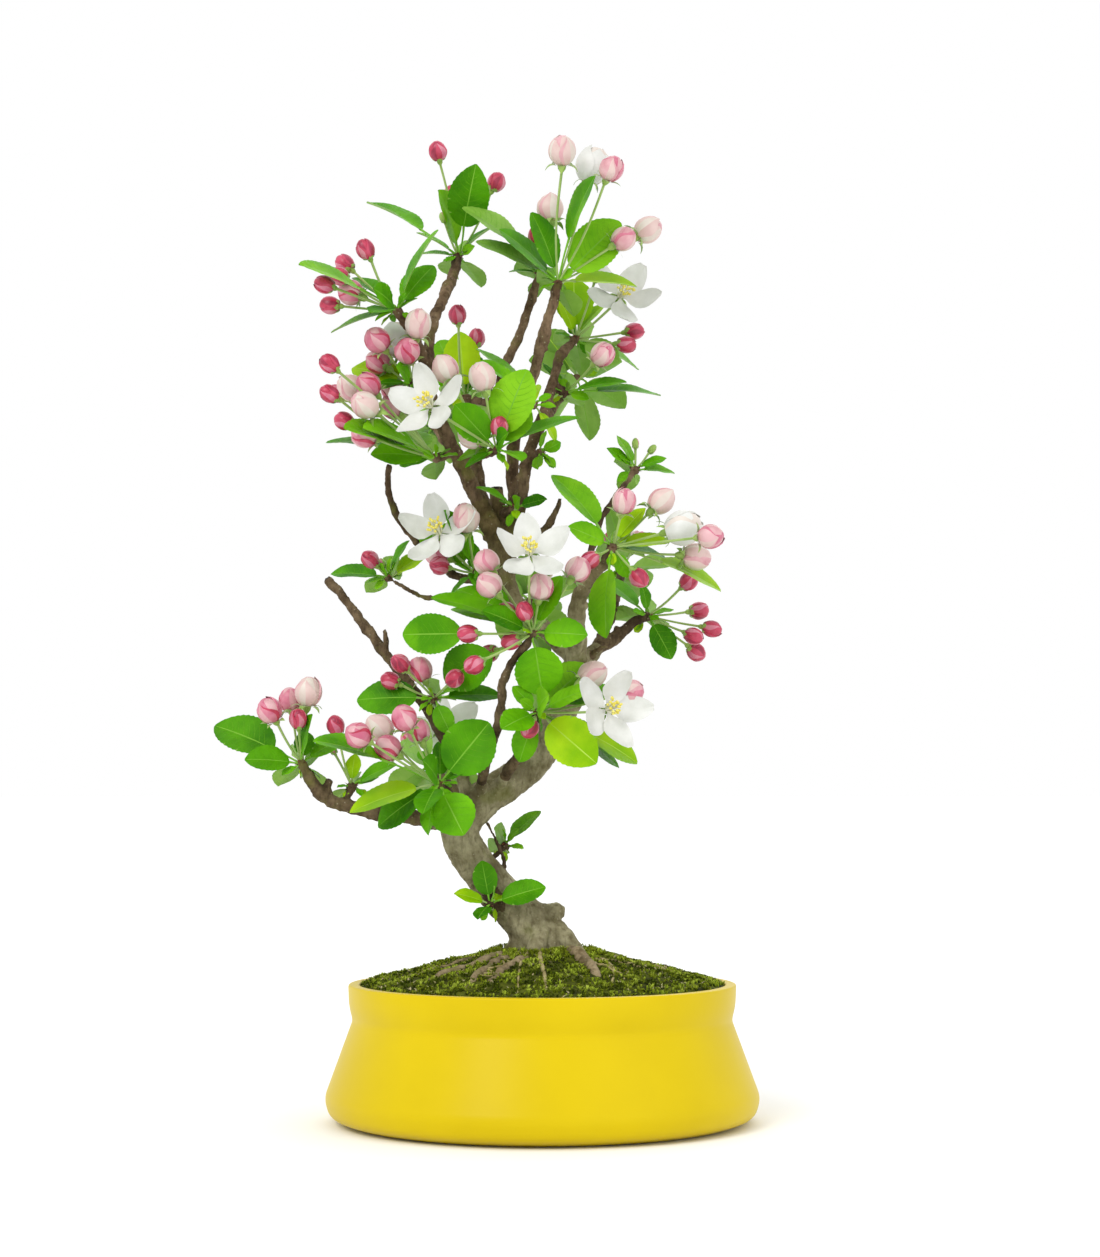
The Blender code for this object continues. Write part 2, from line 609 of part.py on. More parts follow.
def mass_shapes(name, spec, trees):
    """All leaf, bud and blossom shapes of one mass that find a free place."""
    boss = Vector(spec[1])
    leaves, blooms, extra, spread, side = spec[2:]
    rng = random.Random(f"{SEED}-{name}")
    front = Vector((0, -1, 0))
    outward = Vector((0, side, 0))
    own = []
    shapes = []

    def add_leaf(bearing, reach, breadth, lean, facing, aimed):
        leaf_seed = rng.random()

        def make(shift, more, margin, skip):
            way = aimed(bearing + shift, reach, lean + more * (0.4 if aimed is aim_length else 1.0))
            frame = leaf_frame(way, breadth, facing, random.Random(leaf_seed))
            return [leaf_shape(stalk_start(boss, way), frame, margin, skip, aimed is aim_length)]
        shapes.extend(settle(make, trees, own))

    def add_bloom(bearing, reach, stage, lean, facing, aimed):
        turn = rng.uniform(0, math.tau)

        def make(shift, more, margin, skip):
            way = aimed(bearing + shift, reach, lean + more)
            start = stalk_start(boss, way)
            if stage == "open":
                return blossom_shapes(start, way, facing, turn, margin, skip)
            return [bud_shape(start, way, stage, margin, skip)]
        shapes.extend(settle(make, trees, own))

    for k, (bearing, reach, stage) in enumerate(blooms):
        add_bloom(bearing, reach, stage, (-26, 8, -9)[k % 3], front, aim)
    for k, (bearing, reach, breadth) in enumerate(leaves):
        if reach > SMALLEST_REACH:
            add_leaf(bearing, reach, breadth, (16, -14, 2)[k % 3], front, aim)
    if not leaves:
        for k in range(2):
            stage = BACK_BLOOMS[rng.randrange(len(BACK_BLOOMS))]
            add_bloom(60 + 70 * k + rng.uniform(-25, 25), spread, stage, 55 * side, outward, aim_length)
    for k in range(extra):
        bearing = 360 * (k + rng.uniform(0.1, 0.9)) / extra
        lean = rng.uniform(*(ADDED_LEANS if leaves else BACK_LEANS)) * side
        add_leaf(bearing, spread * rng.uniform(0.85, 1.15), rng.uniform(0.4, 0.9), lean, outward, aim_length)
    return shapes


def nearest_row(line, boss):
    """The row of a limb's line that lies nearest to a point."""
    return min(line, key=lambda row: (Vector(row[:3]) - boss).length)


def stem_line(line, boss):
    """A short spur that leaves its carrier and swells where the leaves spring."""
    start = nearest_row(line, boss)
    root = Vector(start[:3])
    way = (boss - root).normalized()
    thick = min(1.9, start[3] * 0.9)
    return [(*root, thick), (*(boss - way * 1.9), max(1.7, thick)), (*(boss + way * 1.7), BOSS_RADIUS)]


def build_pot(collection):
    profile = [
        (0.0, POT_FLOOR), (POT_WAIST_RADIUS - POT_WALL - 1.0, POT_FLOOR),
        (POT_WAIST_RADIUS - POT_WALL, POT_WAIST_HEIGHT),
        (POT_RIM_RADIUS - POT_WALL, POT_HEIGHT - POT_LIP),
        (POT_RIM_RADIUS - POT_WALL + POT_LIP, POT_HEIGHT), (POT_RIM_RADIUS - POT_LIP, POT_HEIGHT),
        (POT_RIM_RADIUS, POT_HEIGHT - POT_LIP), (POT_RIM_RADIUS - 0.2, POT_HEIGHT - 9),
        (POT_WAIST_RADIUS, POT_WAIST_HEIGHT),
        (POT_BELLY_RADIUS - 0.6, POT_BELLY_HEIGHT + 3.5), (POT_BELLY_RADIUS, POT_BELLY_HEIGHT),
        (POT_BELLY_RADIUS - 1.2, 5.4), (POT_BELLY_RADIUS - 5.0, 2.4), (POT_BELLY_RADIUS - 10.5, 0.7),
        (POT_FOOT_RADIUS, 0.0), (0.0, 0.0),
    ]
    pot = turned("pot", profile, POT_STEPS)
    finish(pot, collection, material("yellow_glaze", (0.80, 0.60, 0.004), 0.25))


def mound_height(radius):
    if radius <= SEAT_RADIUS:
        return SEAT_HEIGHT
    share = (radius - SEAT_RADIUS) / (POT_RIM_RADIUS - POT_WALL - SEAT_RADIUS)
    return SEAT_HEIGHT - (SEAT_HEIGHT - MOUND_EDGE_HEIGHT) * share ** MOUND_POWER


def mound_profile(grow):
    """The mound's outline; grown, it clears what lies on it."""
    edge = POT_RIM_RADIUS - POT_WALL - GAP
    radii = [0.0, SEAT_RADIUS] + [SEAT_RADIUS + (edge - SEAT_RADIUS) * k / 4 for k in range(1, 5)]
    top = [(radius, mound_height(radius) + grow) for radius in radii]
    waist = POT_WAIST_RADIUS - POT_WALL - GAP
    return top + [(edge, POT_HEIGHT - 1.5), (waist, POT_WAIST_HEIGHT), (waist - 1.2, POT_FLOOR + GAP),
                  (0.0, POT_FLOOR + GAP)]


def build_mound(collection):
    mound = turned("moss_mound", mound_profile(0.0), POT_STEPS)
    finish(mound, collection, material("moss", (0.12, 0.15, 0.02), 0.95))


def box_below(height):
    """A block whose top is at a height, as wide as the pot."""
    bpy.ops.mesh.primitive_cube_add(size=1.0)
    box = bpy.context.object
    size = 4 * POT_BELLY_RADIUS * MM
    for vert in box.data.vertices:
        vert.co = Vector((vert.co.x * size, vert.co.y * size, height * MM + (vert.co.z - 0.5) * size))
    for collection in box.users_collection:
        collection.objects.unlink(box)
    return box


def knob(name, middle, radius):
    """A rounded burl."""
    mesh = bpy.data.meshes.new(name)
    bm = bmesh.new()
    bmesh.ops.create_icosphere(bm, subdivisions=1, radius=radius * MM)
    bmesh.ops.translate(bm, verts=bm.verts, vec=Vector(middle) * MM)
    bm.to_mesh(mesh)
    bm.free()
    return bpy.data.objects.new(name, mesh)


def flare_lines():
    """Ridges that spread from the foot of the trunk down to its seat."""
    foot = Vector((2, 0, SEAT_HEIGHT))
    lines = []
    for bearing in FLARE_BEARINGS:
        angle = math.radians(bearing)
        out = Vector((math.cos(angle), math.sin(angle), 0))
        lines.append([(*(foot + UP * 14 - out * 1), 5.0), (*(foot + UP * 6 + out * FLARE_REACH * 0.5), 4.6),
                      (*(foot + out * FLARE_REACH - UP * 3), 3.4)])
    return lines


def build_trunk(collection, bark):
    line = smooth_line(TRUNK, 2)
    trunk = tube("trunk", line, resolution=2)
    ridges = [tube("ridge", row) for row in flare_lines()]
    combine(trunk, ridges + [knob("knob", *KNOB)], "UNION")
    combine(trunk, [box_below(SEAT_HEIGHT + GAP)], "DIFFERENCE")
    finish(trunk, collection, bark)
    grown = tube("trunk_grown", line, grow=GAP, resolution=2)
    combine(grown, [tube("ridge", row, grow=GAP) for row in flare_lines()]
            + [knob("knob", KNOB[0], KNOB[1] + GAP)], "UNION")
    return line, grown


def copy_of(obj):
    twin = obj.copy()
    twin.data = obj.data.copy()
    return twin


def cut_clear(obj, grown):
    """Cut the object clear of each grown solid that it meets."""
    for other in grown:
        if tree_of(obj).overlap(tree_of(other)):
            combine(obj, [copy_of(other)], "DIFFERENCE")


def lie_on_mound(points, thick, thin):
    """Root points seen from above, half sunk where the root lies on the mound."""
    last = len(points) - 1
    return [(x, y, mound_height(math.hypot(x, y)) + 0.2 * (thick + (thin - thick) * k / last))
            for k, (x, y) in enumerate(points)]


def limb_line(points, thick, thin):
    """A limb's smooth line, tapering from its base to its tip."""
    rows = smooth_line(points, 2)
    last = len(rows) - 1
    return [(*row, thick + (thin - thick) * (k / last) ** 0.8) for k, row in enumerate(rows)]


def build_roots(collection, grown_trunk, bark):
    mound = turned("mound_grown", mound_profile(GAP), POT_STEPS)
    for name, (points, thick, thin) in ROOTS.items():
        root = tube(name, limb_line(lie_on_mound(points, thick, thin), thick, thin))
        cut_clear(root, [grown_trunk, mound])
        finish(root, collection, bark)
    bpy.data.objects.remove(mound, do_unlink=True)


def build_boughs(collection, trunk_line, grown_trunk, bark):
    """Every bough, cut clear of the limbs made before it."""
    lines = {"trunk": trunk_line}
    grown = {"trunk": grown_trunk}
    for name, (carrier, points, thick, thin) in BOUGHS.items():
        line = limb_line(points, thick, thin)
        bough = tube(name, line)
        cut_clear(bough, list(grown.values()))
        finish(bough, collection, bark)
        lines[name] = line
        grown[name] = tube(name + "_grown", line, grow=GAP)
    return lines, grown


def grown_mass(stem, shapes):
    """The stem with every shape joined to it."""
    mass = copy_of(stem)
    combine(mass, [solid("piece", shape) for shape in shapes], "UNION")
    return mass


def build_masses(collection, lines, grown, leaf_green):
    """Each mass: its stem, then the leaves and blooms that find a free place."""
    stems = {}
    for name, spec in MASSES.items():
        stems[name] = tube(name, stem_line(lines[spec[0]], Vector(spec[1])), resolution=0)
        cut_clear(stems[name], list(grown.values()))
    limbs = [tree_of(other) for other in grown.values()]
    taken = {name: tree_of(stem) for name, stem in stems.items()}
    for name, spec in MASSES.items():
        others = [tree for other, tree in taken.items() if other != name]
        shapes = mass_shapes(name, spec, limbs + others)
        mass = grown_mass(stems[name], shapes)
        while not is_closed(mass):
            shapes.pop()
            bpy.data.objects.remove(mass, do_unlink=True)
            mass = grown_mass(stems[name], shapes)
        bpy.data.objects.remove(stems[name], do_unlink=True)
        mass.name = name
        taken[name] = tree_of(mass)
        finish(mass, collection, leaf_green)


def finish(obj, collection, mat):
    """Give the object its material and smooth faces, and put it with the parts."""
    obj.data.materials.clear()
    obj.data.materials.append(mat)
    obj.data.shade_smooth()
    obj.data.set_sharp_from_angle(angle=math.radians(35))
    collection.objects.link(obj)


def main():
    clear_scene()
    parts = new_collection("apple_bonsai")
    bark = material("bark", (0.20, 0.16, 0.09), 0.9)
    root_bark = material("root_bark", (0.20, 0.13, 0.06), 0.9)
    leaf_green = material("leaf_green", (0.13, 0.38, 0.01), 0.5)
    build_pot(parts)
    build_mound(parts)
    trunk_line, grown_trunk = build_trunk(parts, bark)
    build_roots(parts, grown_trunk, root_bark)
    lines, grown = build_boughs(parts, trunk_line, grown_trunk, bark)
    build_masses(parts, lines, grown, leaf_green)
    for other in grown.values():
        bpy.data.objects.remove(other, do_unlink=True)


main()
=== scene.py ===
"""The looks of the flowering apple bonsai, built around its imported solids.

Every mass of leaves grows here by the rule that made its solid: the same table, the
same seed and the same order of draws. A leaf or bloom is drawn where the solid has
one. Lengths in the tables are millimetres: x to the right, y away from the viewer,
z up, from the middle of the pot's flat underside.
"""

import json
import math
import random

import bmesh
import bpy
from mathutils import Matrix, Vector, noise
from mathutils.kdtree import KDTree

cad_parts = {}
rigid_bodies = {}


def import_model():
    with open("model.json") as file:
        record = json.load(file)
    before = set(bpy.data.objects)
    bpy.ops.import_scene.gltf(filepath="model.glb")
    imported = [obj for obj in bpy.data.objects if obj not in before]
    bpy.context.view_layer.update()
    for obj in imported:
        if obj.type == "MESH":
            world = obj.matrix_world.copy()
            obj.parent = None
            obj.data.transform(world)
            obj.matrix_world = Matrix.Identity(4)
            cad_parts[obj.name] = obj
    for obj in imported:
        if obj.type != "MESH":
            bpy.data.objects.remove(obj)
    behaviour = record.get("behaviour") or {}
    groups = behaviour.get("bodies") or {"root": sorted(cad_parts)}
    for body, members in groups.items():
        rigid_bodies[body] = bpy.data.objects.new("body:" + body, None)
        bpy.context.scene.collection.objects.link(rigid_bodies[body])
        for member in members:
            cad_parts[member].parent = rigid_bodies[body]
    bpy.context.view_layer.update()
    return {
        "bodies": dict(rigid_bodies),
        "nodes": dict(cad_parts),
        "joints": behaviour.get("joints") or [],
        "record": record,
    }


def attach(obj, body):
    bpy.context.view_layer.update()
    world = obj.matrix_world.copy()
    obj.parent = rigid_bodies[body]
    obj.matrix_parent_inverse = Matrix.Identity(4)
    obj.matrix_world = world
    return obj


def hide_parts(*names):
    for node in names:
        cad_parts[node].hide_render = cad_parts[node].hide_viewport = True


MM = 0.001
UP = Vector((0, 0, 1))
EAST = Vector((1, 0, 0))
FRONT = Vector((0, -1, 0))
BODY = "root"
SEED = 7

# The photograph's view: millimetres beside, above and before the pot's axis
CAMERA_SIDE = 3.4
CAMERA_HEIGHT = 150.0
CAMERA_DISTANCE = 1200.0
AIM_HEIGHT = 220.0
LENS = 76.5
SENSOR = 36.0
CLIP_START = 0.05         # metres

# Studio: white surroundings, a soft key from the upper left, and a pale floor
WORLD_LIGHT = 1.0
SUN_LIGHT = 1.1
SUN_WAY = (0.5, 0.8, -0.7)
SUN_SPREAD = 24.0         # degrees
FLOOR_RADIUS = 30.0       # metres, past the camera's horizon
FLOOR_TONES = ((0.93, 0.93, 0.93), (0.96, 0.96, 0.96))
SHADE = 0.8               # how bright the photograph's colours look in this light
# Fill lamps: name, place, the point they look at, width and watts
LAMPS = [
    ("fill", (900, -900, 500), (0, 0, 200), 1100, 2.0),
    ("back", (300, 1100, 900), (0, 0, 250), 900, 3.0),
]

# Pot, turned about the vertical
POT_FOOT_RADIUS = 80.0
POT_BELLY_RADIUS = 97.0
POT_BELLY_HEIGHT = 9.0
POT_WAIST_RADIUS = 84.6
POT_WAIST_HEIGHT = 45.5
POT_RIM_RADIUS = 86.4
POT_HEIGHT = 61.4
POT_WALL = 5.0
POT_FLOOR = 6.0
POT_SIDES = 180
POT_WANDER = 0.28         # how far the thrown wall strays from a true round
CORNER_STEPS = 5

# Moss mound: a flat seat under the trunk, then a slope down to the rim
GAP = 0.3                 # clearance between the mound and the pot
SEAT_HEIGHT = 76.0
SEAT_RADIUS = 22.0
MOUND_EDGE_HEIGHT = 61.2
MOUND_POWER = 1.02
SOIL_SINK = 0.3           # the humped soil lies this much below the mound
SOIL_RINGS = 70
SOIL_SIDES = 150
SKIRT_DEPTH = 12
TUFTS = 8600
BARE_RADIUS = 11          # few tufts grow this close to the trunk's middle

# Leaves, buds and blossom, by the rule of the solids
LEAF_MAX_LENGTH = 31.0
LEAF_BLADE_SHARE = 0.8
LEAF_CURL = 0.14
PETAL_LENGTH = 18.5
PETAL_HALF_WIDTH = 5.9
BUD_SIZES = {             # width and length
    "green": (3.6, 5.5),
    "red": (8.0, 10.0),
    "pink": (11.0, 12.5),
    "blush": (11.6, 14.5),
    "half": (15.5, 18.0),
}
SMALLEST_REACH = 13.5     # shorter leaves are left out of the solids
# Degrees of lean and of turn that the rule tries before it gives a leaf or bloom up
LEANS = (0, 12, -12, 24, -24, 36, -36, 48, -48)
SHIFTS = (0, 5, -5, 10, -10)
# Degrees of lean away from the viewer, in turn along a mass's table
BLOOM_LEANS = (-26, 8, -9)
LEAF_LEANS = (16, -14, 2)
ADDED_LEANS = (48, 78)    # degrees away from the front view, for leaves that the rule adds
BACK_LEANS = (20, 65)
BACK_BLOOMS = ("open", "pink", "red", "blush", "red", "pink")
BLOOMS_BEHIND = 2         # on each mass that only the hidden side shows
DEEPEST = 32.0            # how far a leaf or bud may lie before or behind its stem
STALK_FOOT = 0.6          # where stalks start, from the middle of the stem's end
BLOSSOM_MIDDLE = 2.5      # how far the solid's blossom stands out of its petals
FOUND_WITHIN = 0.06       # a corner of the solid this near means that the leaf is there

# Finer growth that the solids leave out
LEAF_ROW = 1.15           # a leaf's blade has a row of faces about every so many millimetres
LEAF_SPREAD = (-1.0, -0.66, -0.33, -0.03, 0.03, 0.33, 0.66, 1.0)
LEAF_RIB_STRIP = 3        # which of the strips between those is the midrib
LEAF_SKIN = 0.16          # from the middle of a blade to its upper or lower skin
TOOTH = 0.028             # how far the teeth of a leaf's edge stand out, of its half width
VEINED_LENGTH = 11        # shorter blades have no side veins
VEIN_SPACING = 3.6
VEIN_HALF_WIDTH = 0.1
BRACTS = 5                # small young leaves at the foot of each cluster
BUD_SCALES = 7
SEPALS = 5
SEPAL_ROWS = 4
SEPAL_TILT = 1.05         # radians from the bud's axis, where a sepal starts
PETALS = 5
PETAL_ROWS = 10
PETAL_STRIPS = 8
STAMENS = 22
STAMEN_LENGTH = 7.5
BUD_ROWS = 9
BUD_SIDES = 20
BUD_SHELLS = 3
SHELL_ROWS = 8
SHELL_STRIPS = 8
SHELL_TURN = 0.4          # from one wrapped petal to the next, in full turns
BLOSSOM_CLEARANCE = 9.0   # added leaves keep this far from an open blossom's middle

# Bark
VOXEL = 0.8               # the grid on which trunk and boughs become one skin
ROOT_VOXEL = 0.6
TRUNK_SIDES = 28
LIMB_SIDES = 14
STEM_SIDES = 12
KNOT_SPACING = (5.5, 12)  # least and most between two knots
COLLAR_SWELL = (1.5, 1.4, 1.25, 1.12, 1.0)    # how a bough swells at its base, row by row
COLLAR = 3.0              # how far a bough keeps the trunk's grey bark, of its radius
STEM_THICK = 1.9          # radius of a mass's stem
SLENDER_STEM_THICK = 1.1

# Trunk: x, y, z and radius up its bent line, ending in a sawn stub
TRUNK = [
    (4, 0, 66, 13.0), (-5, 0, 86, 10.6), (-18, -2, 100, 9.2), (-30, -4, 115, 8.6), (-37, -5, 129, 8.3),
    (-28, -3, 142, 8.2), (-15, 0, 151, 7.9), (-2, 3, 162, 7.2), (7, 4, 179, 6.6), (14, 3, 193, 6.1),
    (16, 1, 205, 5.4), (9, -1, 213, 4.8), (-1, -3, 220, 4.5), (-12, -3, 230, 4.4), (-17, -1, 242, 4.8),
    (-18, 0, 254, 6.4), (-18, 0, 264, 6.6), (-19.5, 0, 271, 3.7), (-21, 0, 284, 2.9),
]
# Ridges at the trunk's foot: degrees about the vertical, and how far they reach
FLARE_BEARINGS = (-38, -110, -165, 70, 140)
FLARE_REACH = 19.0
# The knob low on the trunk: its middle and radius, then the way from there to its foot
KNOB = ((5.4, 1.3, 93.0), 4.9)
KNOB_FOOT = Vector((-9.0, -0.5, -4.0))
# Surface roots: points seen from above, and the radius at each end
ROOTS = {
    "surface_root_right": ([(12, -12), (17, -24), (21, -36), (25, -49)], 4.4, 1.8),
    "surface_root_left": ([(-9, -11), (-27, -24), (-42, -33), (-58, -41)], 3.2, 1.4),
    "surface_root_front": ([(-3, -14), (-10, -30), (-19, -45), (-24, -63)], 2.8, 1.5),
}

# Boughs: what carries each, its points, and its radius at base and tip
BOUGHS = {
    "bough_left_front": (
        "trunk",
        [(-21, -2, 262), (-28, -8, 276), (-35, -12, 290), (-42, -14, 304), (-49, -18, 321),
         (-52, -20, 341)], 4.0, 2.2),
    "bough_top_left": (
        "bough_left_front",
        [(-51, -19, 334), (-50, -12, 353), (-46, -2, 367), (-42, 10, 379), (-39.5, 18, 388)], 2.2, 2.3),
    "bough_left_upper": ("bough_left_front", [(-52, -20, 337), (-56, -26, 347), (-60, -31, 353)], 2.1, 2.2),
    "bough_left_back": (
        "trunk",
        [(-19, 3, 258), (-26, 11, 276), (-30, 18, 293), (-29, 24, 309), (-22, 26, 322), (-18, 24, 341),
         (-10, 20, 358), (-3, 20, 380)], 2.9, 1.8),
    "bough_centre_back": (
        "trunk",
        [(-16, 3, 258), (-13, 9, 280), (-14, 11, 293), (-11, 9, 316), (-3, 1, 339), (2, -5, 357),
         (6, -9, 370)], 3.2, 2.3),
    "bough_right_front": (
        "trunk",
        [(-14, -2, 256), (-9, -6, 282), (-6, -5, 298), (0, 3, 316), (4, 13, 331), (8, 22, 346),
         (12, 25, 352)], 3.2, 1.9),
    "bough_left_middle": (
        "trunk",
        [(-16, -2, 236), (-29, 4, 241), (-42, 7, 246), (-55, 3, 257), (-65, -6, 270), (-69, -13, 281),
         (-68, -18, 292)], 2.2, 1.3),
    "bough_left_low": (
        "trunk", [(-13, -2, 232), (-28, 10, 234), (-42, 22, 236), (-54, 28, 236), (-66, 30, 242)], 1.7, 0.9),
    "bough_bare_cut": (
        "trunk",
        [(-31, -4, 138), (-37, -6, 156), (-45, -8, 173), (-55, -8, 189), (-66, -4, 203), (-77, 0, 217),
         (-88, 4, 232), (-98, 8, 243)], 2.9, 1.8),
    "bough_lowest_left": (
        "trunk",
        [(-31, -4, 133), (-44, -8, 133), (-60, -10, 136), (-76, -10, 138), (-89, -10, 141), (-98, -10, 145),
         (-104, -12, 154)], 3.4, 2.6),
    "bough_low_front": ("trunk", [(-22, -2, 146), (-14, -20, 157), (-8, -32, 168), (-4, -40, 177)], 2.4, 1.7),
    "bough_inner_rise": (
        "trunk",
        [(-28, -2, 141), (-26, -20, 156), (-21, -28, 171), (-18, -34, 182), (-17, -40, 194),
         (-12, -46, 204), (-7, -48, 210)], 2.3, 1.7),
    "bough_right": (
        "trunk", [(15, 0, 199), (15, -9, 218), (16, -16, 231), (22, -22, 241), (28, -27, 249)], 4.6, 2.6),
    "bough_right_low": (
        "trunk", [(15, 0, 201), (24, 6, 211), (32, 12, 216), (38, 16, 221), (44, 19, 225)], 3.8, 2.0),
    "bough_right_thin": (
        "bough_right",
        [(16, -14, 227), (20, 10, 246), (25, 22, 267), (32, 29, 280), (40, 34, 291)], 1.5, 1.3),
    "bough_back_low_left": (
        "trunk", [(-31, -2, 136), (-36, 20, 144), (-44, 38, 151), (-50, 52, 156)], 2.6, 1.7),
    "bough_back_low_right": ("trunk", [(-6, 2, 160), (-2, 22, 166), (2, 38, 172), (5, 50, 177)], 2.4, 1.7),
    "bough_back_centre": ("trunk", [(-4, -3, 223), (-6, 20, 226), (-8, 38, 230), (-7, 54, 234)], 2.4, 1.7),
    "bough_back_right": (
        "bough_right_low", [(25, 7, 212), (31, 28, 226), (35, 44, 238), (37, 56, 248)], 2.2, 1.6),
    "bough_back_upper_left": (
        "bough_left_back", [(-29, 17, 291), (-38, 32, 300), (-46, 46, 310), (-50, 56, 317)], 2.0, 1.5),
    "bough_back_upper_right": (
        "bough_right_front", [(-2, 0, 311), (4, 22, 322), (10, 42, 332), (14, 56, 340)], 2.0, 1.5),
}

